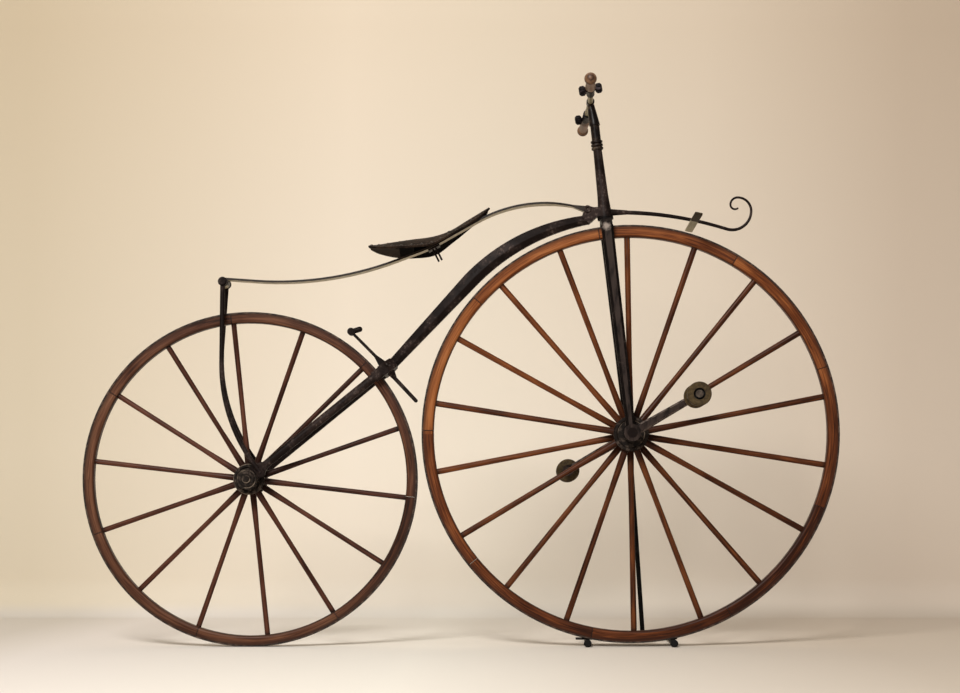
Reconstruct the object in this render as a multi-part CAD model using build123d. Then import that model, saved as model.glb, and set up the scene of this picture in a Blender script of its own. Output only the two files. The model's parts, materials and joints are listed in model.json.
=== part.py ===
from build123d import *
import os
from math import acos, atan2, cos, degrees, radians, sin, sqrt, tan

# An iron-framed velocipede with two wooden wheels in line, parked on a display stand that lifts the
# front wheel. Millimetres; +X is forward, +Y is the rider's left, +Z is up. The origin lies on the
# floor, half way between the back of the rear tyre and the front of the front tyre.

# Wheels
FRONT_RADIUS = 500
REAR_RADIUS = 400
WHEELBASE = 910
TYRE_WIDTH = 28
TYRE_THICK = 4
TYRE_BEVEL = 1.2
FELLOE_WIDTH = 27
FRONT_FELLOE_DEPTH = 25
REAR_FELLOE_DEPTH = 22
FELLOE_ROUND = 7
FELLOE_GAP = 0.5
FRONT_SPOKES = 18
REAR_SPOKES = 14
FRONT_SPOKE_PHASE = 91
REAR_SPOKE_PHASE = 96.2
SPOKES_PER_FELLOE = 2
FRONT_SPOKE_DIAS = (17, 13, 14.5)  # at the hub, at the waist, at the rim
REAR_SPOKE_DIAS = (16.2, 11.4, 12.7)
SPOKE_WAIST = 0.3
SPOKE_DISH = 12

# Hubs and axles
FRONT_BARREL_RADIUS = 34
FRONT_FLANGE_RADIUS = 42
REAR_BARREL_RADIUS = 30
REAR_FLANGE_RADIUS = 37
BARREL_HALF = 25
FLANGE_THICK = 8
HUB_DISH = 3
HUB_RIM = 7
HUB_BEVEL = 2.5
FRONT_AXLE_RADIUS = 12
REAR_AXLE_RADIUS = 10
RUNNING = 0.05
SIDE_CLEAR = 5.5

# Fork and steering head, measured along the steering axis from the front axle
RAKE = 6.6
CROWN_CLEAR = 6
CROWN_THICK = 12
CROWN_WIDTH = 26
CROWN_SHOULDER = 16
CROWN_STUB = 6
LEG_TYRE_CLEAR = 6.5
LEG_TOP_WIDTH = 29
LEG_TOP_THICK = 20
LEG_FOOT_WIDTH = 21.5
LEG_FOOT_THICK = 18
LEG_BEVEL = 6.5
LEG_FOOT_UP = 12
FORK_EYE_RADIUS = 20
FORK_EYE_THICK = 22
COLLAR_RADIUS = 19
COLLAR_THICK = 6
STEERER_RADIUS = 7
HEAD_GAP = 0.4
HEAD_LENGTH = 160
HEAD_FOOT_RADIUS = 17
HEAD_KNEE_RADIUS = 13.2
HEAD_KNEE = 50
HEAD_TOP_RADIUS = 10.4

# Stem and handlebar
STEM_BEAD_RADIUS = 14.3
STEM_BEADS = 3
STEM_BEAD_PITCH = 8
STEM_RADIUS = 11
STEM_BASE = 36
STEM_TAPER = 56
STEM_FLARE_RADIUS = 13.2
STEM_TOP_RADIUS = 7.5
STEM_LEAN = 4
STEM_SOCKET = 26
BAR_RADIUS = 6.5
BAR_EYE_RADIUS = 9.5
BAR_EYE_LENGTH = 26
BAR_HALF = 283
BAR_SWEEP = 10
BAR_DROP = 10
GRIP_LENGTH = 122
GRIP_END_RADIUS = 8.6
GRIP_SWELL_RADIUS = 12
GRIP_WAIST_RADIUS = 10.6
GRIP_BALL_RADIUS = 14
GRIP_SWELL_AT = 0.16
GRIP_WAIST_AT = 0.5
GRIP_NECK_ANGLE = 45
GRIP_BAR_DEPTH = 90
CLAMP_LENGTH = 58
CLAMP_RADIUS = 9.8
KNOB_BACK = 10
KNOB_OFFSET = 19
KNOB_TILT = 10
KNOB_RADIUS = 11.5
KNOB_THICK = 16
KNOB_ROUND = 4
KNOB_FLUTES = 8
KNOB_FLUTE_RADIUS = 2.4
KNOB_FLUTE_OUT = 0.7
KNOB_STEM_RADIUS = 4.5

# Backbone, struck about the front axle and then straight down to the rear fork's crown
SPINE_CLEAR = 13
SPINE_DEPTH = 37
SPINE_NECK_DEPTH = 21
SPINE_FOOT_DEPTH = 23
SPINE_FOOT_RISE = 4
SPINE_EDGE_HALF = 6
SPINE_RIDGE_HALF = 13.5
SPINE_RIDGE = (0.40, 0.44)  # where the flank is widest, as shares of the depth
SPINE_START = 101
SPINE_TANGENT = 136.5
NECK_TOP = 23.7
NECK_HALF = 8.5
NECK_CUT = (21, 14)  # the underside rises from the spine to the head
NECK_NOTCH = ((56, 4), (53, 12))  # behind the head, above its foot
CHEEK_FOOT = 25
CHEEK_THICK = 6
SPRING_BOLT_BACK = 41
SPRING_BOLT_UP = 21.5
BOSS_RADIUS = 9

# Rear fork
REAR_CROWN_STANDOFF = 18
REAR_CROWN_CLEAR = 6
REAR_CROWN_LENGTH = 40
REAR_CROWN_DEPTH = 27
REAR_CROWN_BEVEL = 5
REAR_LUG_LENGTH = 22
REAR_LUG_DEPTH = 25
REAR_LUG_THICK = 21
REAR_LEG_TOP_RADIUS = 10.3
REAR_LEG_FOOT_RADIUS = 9.3
REAR_EYE_RADIUS = 20
REAR_EYE_TAIL = 44
REAR_EYE_TAIL_RADIUS = 13
REAR_EYE_THICK = 19
CAP_STEPS = ((25, 5), (19, 4), (12, 4), (7, 4))  # radius, height of each turned step

# Saddle spring, rear stays and saddle; places are back from and above the front axle
SPRING_THICK = 5
SPRING_WIDTH = 32
SPRING_ROOT = 36
SPRING_NOSE_WIDTH = 16
SPRING_NOSE = (30, 95)  # behind the bolt: where the leaf starts to widen, and where it is full
SPRING_EYE_RADIUS = 8
SPRING_EYE_CLEAR = 0.6
SPRING_BOLT_RADIUS = 4.5
SPRING_BOLT_HEAD = 8.2
SPRING_BOLT_HEAD_THICK = 4
SPRING_BOLT_DIMPLE = 4
# Corners of the spring, as shares of its run: along it, above the straight line, bend radius
SPRING_ROUTE = ((0.1663, 0.0765, 0.391), (0.4333, -0.0233, 0.345), (0.7129, -0.0748, 0.92))
SPRING_TAIL_CLEAR = 71
SPRING_ROLL_RADIUS = 11
STAY_RADIUS = 5.7
STAY_BACK = 62.5
STAY_FEET = {-1: (33, 15), 1: (11, 34.5)}  # forward of and above the rear axle, by side
STAY_SWING = {-1: 0, 1: 5}
STAY_BEND = 405
STAY_TOP_HALF = 28
STAY_EYE_RADIUS = 11
STAY_EYE_THICK = 6
STAY_BOLT_RADIUS = 5
STAY_KNOB_RADIUS = 8
SADDLE_SEAT = 0.3
SADDLE_THICK = 5
SADDLE_SECTIONS = (  # behind the spring's bolt, crest and edge above the spring, half width
    (521, 58, 54, 22),
    (501, 53, 42, 50),
    (465, 46, 26, 80),
    (417, 35, 8, 92),
    (367, 21.5, -6, 85),
    (327, 13.5, -3.5, 60),
    (287, 16, 1, 36),
    (239, 20, 12.5, 15),
)
SADDLE_BLOCK = slice(3, 6)  # the sections between which a block fills the arch down to the spring
SADDLE_BLOCK_HALF = 15
SADDLE_BLOCK_DEPTH = 90
CLIP_LENGTH = 30
CLIP_THICK = 4
CLIP_BACK = 369
CLIP_PRONG_RADIUS = 2.3
CLIP_PRONG_SPACING = 8
CLIP_PRONG_LENGTH = 32

# Leg rest: a bar that runs forward from the head and ends in a scroll
REST_UP = 9.7
REST_BEND = (97, 870)  # forward of the axle, bend radius
REST_SLOPE = 16.5
REST_ROOT_RADIUS = 8.5
REST_ROOT_LENGTH = 45
REST_BAR_RADIUS = 5.2
SCROLL_START = 231.5
SCROLL_RADIUS = 3.8
SCROLL_TIP_RADIUS = 2.3
SCROLL = ((45.2, 90), (32.5, 180), (17.2, 270), (11, 360), (10.8, 395))  # radius, heading at its end
REST_STRIP_FORWARD = 152.5
REST_STRIP_HALF = 130
REST_STRIP_WIDTH = 18
REST_STRIP_THICK = 4

# Tangent lever on the rear crown
LEVER_WIDTH = 16
# Points of its two arms: out from the tyre, along it, half thickness
LEVER_UP = ((10.2, 122.7, 3.5), (18.5, 40, 3.8), (20, 10, 11))
LEVER_DOWN = ((24, -8, 11), (21, -30, 4.8), (26.2, -102.5, 4.6))
KNUCKLE_RADIUS = 9
KNUCKLE_LENGTH = 20
PEG_RADIUS = 6.6
PEG_LENGTH = 21
PEG_RISE = 16.8

# Cranks and pedals
CRANK_LENGTH = 170
CRANK_ANGLE = 30
CRANK_CLEAR = 6
CRANK_THICK = 16
CRANK_BOSS_RADIUS = 20
CRANK_BOSS_THICK = 24
CRANK_ROOT_WIDTH = 23
CRANK_TIP_WIDTH = 17.5
CRANK_EYE_RADIUS = 13
PIN_RADIUS = 8
PIN_SHOULDER_RADIUS = 11
PIN_SHOULDER = 5
PIN_NUT_RADIUS = 9
PIN_NUT_THICK = 7
PEDAL_LENGTH = 100
PEDAL_RADIUS = 28
PEDAL_WAIST_RADIUS = 23
PEDAL_FLANGE = 12
PEDAL_RECESS_RADIUS = 13.5
PEDAL_RECESS = 8
PEDAL_GAP = 0.6

# Display stand under the front wheel
ROD_RADIUS = 5
ROD_HALF_SPAN = 103
ROD_CLEAR = 5
ROD_NEAR = 28
ROD_FAR = 246
ROD_CAP_RADIUS = 9
ROD_CAP_LENGTH = 18
FOOT_PLATE_WIDTH = 34
FOOT_PLATE_HALF = 125
FOOT_PLATE_Y = 222
FOOT_HOLE_RADIUS = 3.5
FOOT_HOLE_SPACING = 120
BRIDGE_WIDTH = 26
BRIDGE_THICK = 6
POST_RADIUS = 5.5
POST_FOOT_FORWARD = 33
POST_CLAMP_RADIUS = 9
POST_CLAMP_LENGTH = 22
POST_CLAMP_SHOWS = 0.8

BITE = 1  # how far joined shapes reach into each other

# Places worked out from the sizes above
FOOT_PLATE_THICK = ROD_CAP_RADIUS - ROD_RADIUS
FRONT_X = (WHEELBASE + REAR_RADIUS - FRONT_RADIUS) / 2
REAR_X = FRONT_X - WHEELBASE
FRONT_Z = ROD_CAP_RADIUS + sqrt((FRONT_RADIUS + ROD_RADIUS + ROD_CLEAR) ** 2 - ROD_HALF_SPAN ** 2)
REAR_Z = REAR_RADIUS
FRONT_AXLE = Vector(FRONT_X, 0, FRONT_Z)
REAR_AXLE = Vector(REAR_X, 0, REAR_Z)
HUB_HALF = BARREL_HALF + FLANGE_THICK
FORK_EYE_INNER = HUB_HALF + SIDE_CLEAR
FORK_EYE_OUTER = FORK_EYE_INNER + FORK_EYE_THICK
CRANK_INNER = FORK_EYE_OUTER + CRANK_CLEAR
CRANK_OUTER = CRANK_INNER + CRANK_BOSS_THICK
LEG_INNER = TYRE_WIDTH / 2 + LEG_TYRE_CLEAR
CROWN_FOOT = FRONT_RADIUS + CROWN_CLEAR - CROWN_STUB
CROWN_TOP = FRONT_RADIUS + CROWN_CLEAR + CROWN_THICK
HEAD_FOOT = CROWN_TOP + COLLAR_THICK + HEAD_GAP
HEAD_TOP = HEAD_FOOT + HEAD_LENGTH
STEM_FOOT = HEAD_TOP + HEAD_GAP
STEM_SHANK = STEM_FOOT + STEM_BEADS * STEM_BEAD_PITCH
BAR_UP = STEM_SHANK + STEM_BASE + STEM_TAPER
SPINE_INNER = FRONT_RADIUS + SPINE_CLEAR
SPINE_OUTER = SPINE_INNER + SPINE_DEPTH

# The steering frame: origin on the front axle, Z up the steering axis, Y across the machine
RAKE_SIN = sin(radians(RAKE))
RAKE_COS = cos(radians(RAKE))
STEER = Plane(origin=FRONT_AXLE, x_dir=(RAKE_COS, 0, RAKE_SIN), z_dir=(-RAKE_SIN, 0, RAKE_COS))
SIDES = (("right", -1), ("left", 1))


def side_plane(x, z):
    """The XZ plane with its origin at a place on the middle plane; extrusions run along Y."""
    return Plane(origin=(x, 0, z), x_dir=(1, 0, 0), z_dir=(0, -1, 0))


FRONT_SIDE = side_plane(FRONT_X, FRONT_Z)


def across(x, z, radius, y_from, y_to):
    """A round bar along Y."""
    start = min(y_from, y_to)
    plane = Plane(origin=(x, start, z), x_dir=(1, 0, 0), z_dir=(0, 1, 0))
    return plane * upright(radius, abs(y_to - y_from))


def slab(plane, outline, y_from, y_to):
    """An outline in a side plane, given thickness between two distances across the machine."""
    middle = (y_from + y_to) / 2
    thick = extrude(plane * outline, amount=abs(y_to - y_from) / 2, both=True)
    return Pos(0, middle, 0) * thick


def turned(points):
    """A solid turned about Z from (radius, height) points."""
    profile = make_face(Polyline(*[(r, 0, z) for r, z in points], close=True))
    return revolve(profile, axis=Axis.Z)


def upright(radius, length, start=0):
    """A round bar along Z that begins at a height."""
    return Pos(0, 0, start) * Cylinder(radius, length, align=(Align.CENTER, Align.CENTER, Align.MIN))


def bevelled(width, thick, bevel):
    """A rectangle with bevelled corners, centred on the origin."""
    a, b = width / 2, thick / 2
    corners = []
    for sx, sy in ((1, 1), (-1, 1), (-1, -1), (1, -1)):
        pair = [(sx * a, sy * (b - bevel)), (sx * (a - bevel), sy * b)]
        corners += pair if sx * sy > 0 else pair[::-1]
    return make_face(Polyline(*corners, close=True))


def polar(radius, angle):
    return radius * cos(radians(angle)), radius * sin(radians(angle))


def place_at(path, x):
    """The share of a path at which it reaches a place along the machine."""
    low, high = 0.0, 1.0
    forward = (path @ 1).X > (path @ 0).X
    for _ in range(40):
        middle = (low + high) / 2
        short = ((path @ middle).X < x) == forward
        low, high = (middle, high) if short else (low, middle)
    return low


# Wheels


def tyre(radius):
    half = TYRE_WIDTH / 2
    inner = radius - TYRE_THICK
    ring = turned((
        (inner, -half), (radius - TYRE_BEVEL, -half), (radius, -half + TYRE_BEVEL),
        (radius, half - TYRE_BEVEL), (radius - TYRE_BEVEL, half), (inner, half),
    ))
    return Rot(90, 0, 0) * ring


def felloes(radius, depth, spokes, phase):
    """Bent rim segments with their inner corners rounded, each carrying two spokes."""
    outer = radius - TYRE_THICK
    inner = outer - depth
    count = spokes // SPOKES_PER_FELLOE
    pitch = 360 / count
    gap = degrees(FELLOE_GAP / inner)
    section = Pos((outer + inner) / 2, 0) * Rectangle(depth, FELLOE_WIDTH)
    inner_corners = section.vertices().sort_by(Axis.X)[:2]
    section = Plane.XZ * fillet(inner_corners, FELLOE_ROUND)
    segment = revolve(section, axis=Axis.Z, revolution_arc=pitch - gap)
    first = -phase - 360 / spokes / 2
    ring = [Rot(90, 0, 0) * Rot(0, 0, first + gap / 2 + i * pitch) * segment for i in range(count)]
    return Compound(children=ring)


def spokes(radius, depth, barrel, dias, count, phase):
    """Turned spokes with a waist near the hub, every other one set to the other side of it."""
    hub_dia, waist_dia, rim_dia = dias
    rim = radius - TYRE_THICK - depth
    root = barrel - hub_dia / 4
    rim_bore = Rot(90, 0, 0) * Cylinder(rim, TYRE_WIDTH * 2)
    barrel_body = Rot(90, 0, 0) * Cylinder(barrel, BARREL_HALF * 4)
    result = []
    for i in range(count):
        angle = phase + i * 360 / count
        row = SPOKE_DISH * (1 if i % 2 else -1)
        x, z = polar(1, angle)
        start = Vector(x * root, row, z * root)
        end = Vector(x * (rim + rim_dia), 0, z * (rim + rim_dia))
        run = end - start
        stick = turned((
            (0, 0), (hub_dia / 2, 0), (waist_dia / 2, run.length * SPOKE_WAIST), (rim_dia / 2, run.length),
            (0, run.length),
        ))
        spoke = (Plane(origin=start, z_dir=run) * stick) & rim_bore
        result.append((spoke - barrel_body).solids()[0])
    return Compound(children=result)


def hub(barrel, flange, bore):
    """A turned barrel between two flanges whose outer faces are dished inside a raised rim."""
    dish = flange - HUB_RIM
    floor = HUB_HALF - HUB_DISH
    half = (
        (bore, 0), (barrel, 0), (barrel, BARREL_HALF), (flange, BARREL_HALF),
        (flange, HUB_HALF - HUB_BEVEL), (flange - HUB_BEVEL, HUB_HALF), (dish, HUB_HALF),
        (dish - HUB_DISH, floor), (bore + HUB_RIM, floor), (bore + HUB_RIM, HUB_HALF), (bore, HUB_HALF),
    )
    upper = turned(half)
    return Rot(90, 0, 0) * (upper + mirror(upper, Plane.XY))


# Front wheel's drive


def crank(side):
    inner, outer = side * CRANK_INNER, side * CRANK_OUTER
    arm_outer = side * (CRANK_INNER + CRANK_THICK)
    a, b = CRANK_ROOT_WIDTH / 2, CRANK_TIP_WIDTH / 2
    arm = make_face(Polyline((0, -a), (CRANK_LENGTH, -b), (CRANK_LENGTH, b), (0, a), close=True))
    arm = slab(Plane.XZ, arm, inner, arm_outer)
    edges = arm.edges().filter_by(Axis.Y, reverse=True)
    long_edges = [e for e in edges if e.length > CRANK_LENGTH / 2]
    arm = chamfer(long_edges, CRANK_THICK / 4)
    arm += across(CRANK_LENGTH, 0, CRANK_EYE_RADIUS, inner, arm_outer)
    arm += across(0, 0, CRANK_BOSS_RADIUS, inner, outer)
    arm -= across(0, 0, FRONT_AXLE_RADIUS, inner, outer)
    arm -= across(CRANK_LENGTH, 0, PIN_RADIUS, inner, arm_outer)
    return Rot(0, -crank_angle(side), 0) * arm


def crank_angle(side):
    return CRANK_ANGLE if side < 0 else CRANK_ANGLE + 180


PEDAL_INNER = CRANK_INNER + CRANK_THICK + PIN_SHOULDER + PEDAL_GAP
PEDAL_OUTER = PEDAL_INNER + PEDAL_LENGTH


def pedal_place(side):
    x, z = polar(CRANK_LENGTH, crank_angle(side))
    return Plane(origin=(x, 0, z), x_dir=(1, 0, 0), z_dir=(0, side, 0))


def pedal_pin(side):
    shoulder = CRANK_INNER + CRANK_THICK
    recess = PEDAL_OUTER - PEDAL_RECESS
    nut = recess + PEDAL_GAP
    return pedal_place(side) * turned((
        (0, CRANK_INNER), (PIN_RADIUS, CRANK_INNER), (PIN_RADIUS, shoulder),
        (PIN_SHOULDER_RADIUS, shoulder), (PIN_SHOULDER_RADIUS, shoulder + PIN_SHOULDER),
        (PIN_RADIUS, shoulder + PIN_SHOULDER), (PIN_RADIUS, nut), (PIN_NUT_RADIUS, nut),
        (PIN_NUT_RADIUS, nut + PIN_NUT_THICK), (0, nut + PIN_NUT_THICK),
    ))


def pedal(side):
    bore = PIN_RADIUS + RUNNING
    recess = PEDAL_OUTER - PEDAL_RECESS
    slope = PEDAL_RADIUS - PEDAL_WAIST_RADIUS
    return pedal_place(side) * turned((
        (bore, PEDAL_INNER), (PEDAL_RADIUS - slope / 2, PEDAL_INNER),
        (PEDAL_RADIUS, PEDAL_INNER + slope / 2), (PEDAL_RADIUS, PEDAL_INNER + PEDAL_FLANGE),
        (PEDAL_WAIST_RADIUS, PEDAL_INNER + PEDAL_FLANGE + slope),
        (PEDAL_WAIST_RADIUS, PEDAL_OUTER - PEDAL_FLANGE - slope),
        (PEDAL_RADIUS, PEDAL_OUTER - PEDAL_FLANGE), (PEDAL_RADIUS, PEDAL_OUTER - slope / 2),
        (PEDAL_RADIUS - slope / 2, PEDAL_OUTER), (PEDAL_RECESS_RADIUS, PEDAL_OUTER),
        (PEDAL_RECESS_RADIUS, recess), (bore, recess),
    ))


# Fork, in the steering frame


def fork_leg(side):
    """A bevelled bar that spreads from the crown to the axle and ends in a bearing eye."""
    top_y = side * (LEG_INNER + LEG_TOP_THICK / 2)
    foot_y = side * (FORK_EYE_INNER + LEG_FOOT_THICK / 2)
    top = Plane(origin=(0, top_y, CROWN_FOOT)) * bevelled(LEG_TOP_WIDTH, LEG_TOP_THICK, LEG_BEVEL)
    foot = Plane(origin=(0, foot_y, LEG_FOOT_UP)) * bevelled(LEG_FOOT_WIDTH, LEG_FOOT_THICK, LEG_BEVEL)
    leg = loft([foot, top], ruled=True)
    leg += across(0, 0, FORK_EYE_RADIUS, side * FORK_EYE_INNER, side * FORK_EYE_OUTER)
    leg -= across(0, 0, FRONT_AXLE_RADIUS + RUNNING, side * FORK_EYE_INNER, side * FORK_EYE_OUTER)
    return STEER * leg


def fork_crown():
    """An arch over the tyre with sloping shoulders, its bearing collar and the steerer."""
    outer = LEG_INNER + LEG_TOP_THICK
    shoulder = outer - CROWN_SHOULDER
    roof = FRONT_RADIUS + CROWN_CLEAR
    arch = make_face(Polyline(
        (-outer, CROWN_FOOT), (-outer, roof), (-shoulder, CROWN_TOP), (shoulder, CROWN_TOP),
        (outer, roof), (outer, CROWN_FOOT), (LEG_INNER, CROWN_FOOT), (LEG_INNER, roof),
        (-LEG_INNER, roof), (-LEG_INNER, CROWN_FOOT), close=True,
    ))
    crown = extrude(Plane.YZ * arch, amount=CROWN_WIDTH / 2, both=True)
    crown += turned((
        (0, CROWN_TOP - BITE), (COLLAR_RADIUS, CROWN_TOP - BITE), (COLLAR_RADIUS, CROWN_TOP + COLLAR_THICK),
        (STEERER_RADIUS, CROWN_TOP + COLLAR_THICK), (STEERER_RADIUS, STEM_FOOT + STEM_SOCKET),
        (0, STEM_FOOT + STEM_SOCKET),
    ))
    return STEER * crown


def stem():
    """A beaded collar over the head, a round shank and a flared taper up to the handlebar's eye."""
    body = upright(STEM_RADIUS, STEM_SHANK - STEM_FOOT + STEM_BASE, STEM_FOOT)
    for i in range(STEM_BEADS):
        low = STEM_FOOT + i * STEM_BEAD_PITCH
        high = low + STEM_BEAD_PITCH
        edge = STEM_BEAD_PITCH / 4
        body += turned((
            (0, low), (STEM_RADIUS, low), (STEM_BEAD_RADIUS, low + edge), (STEM_BEAD_RADIUS, high - edge),
            (STEM_RADIUS, high), (0, high),
        ))
    shoulder = STEM_SHANK + STEM_BASE
    low_ring = Pos(0, 0, shoulder) * Circle(STEM_FLARE_RADIUS)
    top_ring = Pos(-STEM_LEAN, 0, BAR_UP) * Circle(STEM_TOP_RADIUS)
    body += loft([low_ring, top_ring], ruled=True)
    body += across(-STEM_LEAN, BAR_UP, BAR_EYE_RADIUS, -BAR_EYE_LENGTH / 2, BAR_EYE_LENGTH / 2)
    body -= upright(STEERER_RADIUS, STEM_SOCKET, STEM_FOOT)
    return (STEER * body) - handlebar()


BAR_CENTRE = STEER.from_local_coords(Vector(-STEM_LEAN, 0, BAR_UP))
ARM_RUN = sqrt(BAR_HALF ** 2 + BAR_SWEEP ** 2 + BAR_DROP ** 2)
GRIP_START = ARM_RUN - GRIP_LENGTH


def arm_plane(side):
    """Origin at the bar's middle, Z out along one arm, X forward."""
    return Plane(origin=BAR_CENTRE, x_dir=(BAR_HALF, side * -BAR_SWEEP, 0),
                 z_dir=(-BAR_SWEEP, side * BAR_HALF, -BAR_DROP))


def handlebar():
    reach = GRIP_START + GRIP_BAR_DEPTH
    bar = Pos(BAR_CENTRE) * Sphere(BAR_RADIUS)
    for _, side in SIDES:
        bar += arm_plane(side) * upright(BAR_RADIUS, reach)
    return bar


def grip(side):
    """A turned wooden handle with a swell, a waist and a ball end, bored for the bar."""
    swell = GRIP_START + GRIP_LENGTH * GRIP_SWELL_AT
    waist = GRIP_START + GRIP_LENGTH * GRIP_WAIST_AT
    ball = ARM_RUN - GRIP_BALL_RADIUS
    neck_radius, drop = polar(GRIP_BALL_RADIUS, GRIP_NECK_ANGLE)
    neck = ball - drop
    bore_end = GRIP_START + GRIP_BAR_DEPTH
    corners = ((GRIP_END_RADIUS, GRIP_START), (BAR_RADIUS, GRIP_START), (BAR_RADIUS, bore_end),
               (0, bore_end), (0, ARM_RUN))
    outline = [Line((a, 0, p), (b, 0, q)) for (a, p), (b, q) in zip(corners, corners[1:])]
    outline += [
        ThreePointArc((0, 0, ARM_RUN), (GRIP_BALL_RADIUS, 0, ball), (neck_radius, 0, neck)),
        ThreePointArc((neck_radius, 0, neck), (GRIP_WAIST_RADIUS, 0, waist), (GRIP_SWELL_RADIUS, 0, swell)),
        Line((GRIP_SWELL_RADIUS, 0, swell), (GRIP_END_RADIUS, 0, GRIP_START)),
    ]
    handle = revolve(make_face(Wire(outline)), axis=Axis.Z)
    return arm_plane(side) * handle


def bar_clamp(side):
    """A sleeve inside the grip with a rounded, fluted screw head before and behind it."""
    middle = GRIP_START - CLAMP_LENGTH / 2
    sleeve = Pos(0, 0, middle) * Cylinder(CLAMP_RADIUS, CLAMP_LENGTH)
    fluted = Circle(KNOB_RADIUS)
    for i in range(KNOB_FLUTES):
        x, y = polar(KNOB_RADIUS + KNOB_FLUTE_OUT, i * 360 / KNOB_FLUTES)
        fluted -= Pos(x, y) * Circle(KNOB_FLUTE_RADIUS)
    low, high = KNOB_OFFSET - KNOB_THICK / 2, KNOB_OFFSET + KNOB_THICK / 2
    slim = KNOB_RADIUS - KNOB_ROUND
    barrel = turned((
        (0, low), (slim, low), (KNOB_RADIUS, low + KNOB_ROUND), (KNOB_RADIUS, high - KNOB_ROUND),
        (slim, high), (0, high),
    ))
    knob = barrel & (Pos(0, 0, low) * extrude(fluted, amount=KNOB_THICK))
    for end in (-1, 1):
        x, y = polar(end, side * -KNOB_TILT)
        cross = Plane(origin=(0, 0, GRIP_START - KNOB_BACK), x_dir=(0, 0, 1), z_dir=(x, y, 0))
        sleeve += cross * upright(KNOB_STEM_RADIUS, KNOB_OFFSET)
        sleeve += cross * knob
    sleeve -= Pos(0, 0, middle) * Cylinder(BAR_RADIUS, CLAMP_LENGTH)
    return arm_plane(side) * sleeve


# Frame


SPINE_TANGENT_POINT = polar(SPINE_INNER + SPINE_DEPTH / 2, SPINE_TANGENT)
SPINE_RUN = (-sin(radians(SPINE_TANGENT)), cos(radians(SPINE_TANGENT)))


def spine_length():
    """How far the straight part runs before it meets the rear crown's circle."""
    wx = SPINE_TANGENT_POINT[0] + WHEELBASE
    wz = SPINE_TANGENT_POINT[1] + FRONT_Z - REAR_Z
    along = wx * SPINE_RUN[0] + wz * SPINE_RUN[1]
    reach = REAR_RADIUS + REAR_CROWN_STANDOFF
    return -along - sqrt(along ** 2 - wx ** 2 - wz ** 2 + reach ** 2)


SPINE_LENGTH = spine_length()
CROWN_X = SPINE_TANGENT_POINT[0] + SPINE_LENGTH * SPINE_RUN[0]
CROWN_Z = SPINE_TANGENT_POINT[1] + SPINE_LENGTH * SPINE_RUN[1]
LEG_ANGLE = degrees(atan2(CROWN_Z + FRONT_Z - REAR_Z, CROWN_X + WHEELBASE))
# The rear fork's frame: origin on the rear axle, X out along the legs to the crown, Y across
LEGS = Plane(origin=REAR_AXLE, x_dir=(cos(radians(LEG_ANGLE)), 0, sin(radians(LEG_ANGLE))),
             z_dir=(-sin(radians(LEG_ANGLE)), 0, cos(radians(LEG_ANGLE))))


def spine_edge(share):
    """A line along the spine at a share of its depth: an arc over the wheel, then straight to the crown."""
    start_radius = SPINE_INNER + share * SPINE_NECK_DEPTH
    end_radius = SPINE_INNER + share * SPINE_DEPTH
    swing = cos(radians(SPINE_TANGENT - SPINE_START))
    shift = (end_radius ** 2 - start_radius ** 2) / (2 * (end_radius - start_radius * swing))
    start = polar(start_radius, SPINE_START)
    end = polar(end_radius, SPINE_TANGENT)
    centre = polar(shift, SPINE_TANGENT)
    half_turn = (degrees(atan2(start[1] - centre[1], start[0] - centre[0])) + SPINE_TANGENT) / 2
    reach = polar(end_radius - shift, half_turn)
    middle = (centre[0] + reach[0], centre[1] + reach[1])
    out = polar(SPINE_FOOT_RISE - SPINE_DEPTH / 2 + share * SPINE_FOOT_DEPTH, SPINE_TANGENT)
    return start, middle, end, (CROWN_X + out[0], CROWN_Z + out[1])


def spine_side(low, high, y):
    """The spine's side between two shares of its depth, at a distance across the machine."""
    a, b = spine_edge(low), spine_edge(high)
    outline = ThreePointArc(*a[:3]) + Line(a[2], a[3]) + Line(a[3], b[3]) + Line(b[3], b[2])
    outline += ThreePointArc(b[2], b[1], b[0]) + Line(b[0], a[0])
    return Pos(0, y, 0) * (FRONT_SIDE * make_face(outline))


def spine():
    """The curved bar over the front wheel, straight below; each flank has a ridge along it."""
    bar = extrude(spine_side(0, 1, 0), amount=SPINE_EDGE_HALF, both=True)
    for _, side in SIDES:
        edge = spine_side(0, 1, side * SPINE_EDGE_HALF)
        ridge = spine_side(*SPINE_RIDGE, side * SPINE_RIDGE_HALF)
        bar += loft([edge, ridge], ruled=True)
    return bar


def neck():
    """The forging between head and spine, with two cheeks that take the spring's eye; steering frame."""
    foot = HEAD_FOOT + BITE
    top = HEAD_FOOT + NECK_TOP
    back = SPRING_BOLT_BACK
    bolt_up = HEAD_FOOT + SPRING_BOLT_UP
    cut_start, cut_drop = NECK_CUT
    outline = make_face(Polyline(
        (0, foot), (-cut_start, foot), (-back, foot - cut_drop),
        *[(-behind, foot + above) for behind, above in NECK_NOTCH], (-back + BOSS_RADIUS, top), (0, top),
        close=True,
    ))
    cheek_outer = NECK_HALF + CHEEK_THICK
    block = slab(Plane.XZ, outline, -cheek_outer, cheek_outer)
    cheek = make_face(Polyline(
        (0, foot), (-CHEEK_FOOT, foot), (-back, bolt_up - BOSS_RADIUS), (-back, bolt_up + BOSS_RADIUS),
        (-CHEEK_FOOT, top), (0, top), close=True,
    ))
    block += slab(Plane.XZ, cheek, -cheek_outer, cheek_outer)
    block += across(-back, bolt_up, BOSS_RADIUS, -cheek_outer, cheek_outer)
    block -= across(-back, bolt_up, SPRING_BOLT_RADIUS, -cheek_outer, cheek_outer)
    return STEER * block


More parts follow.
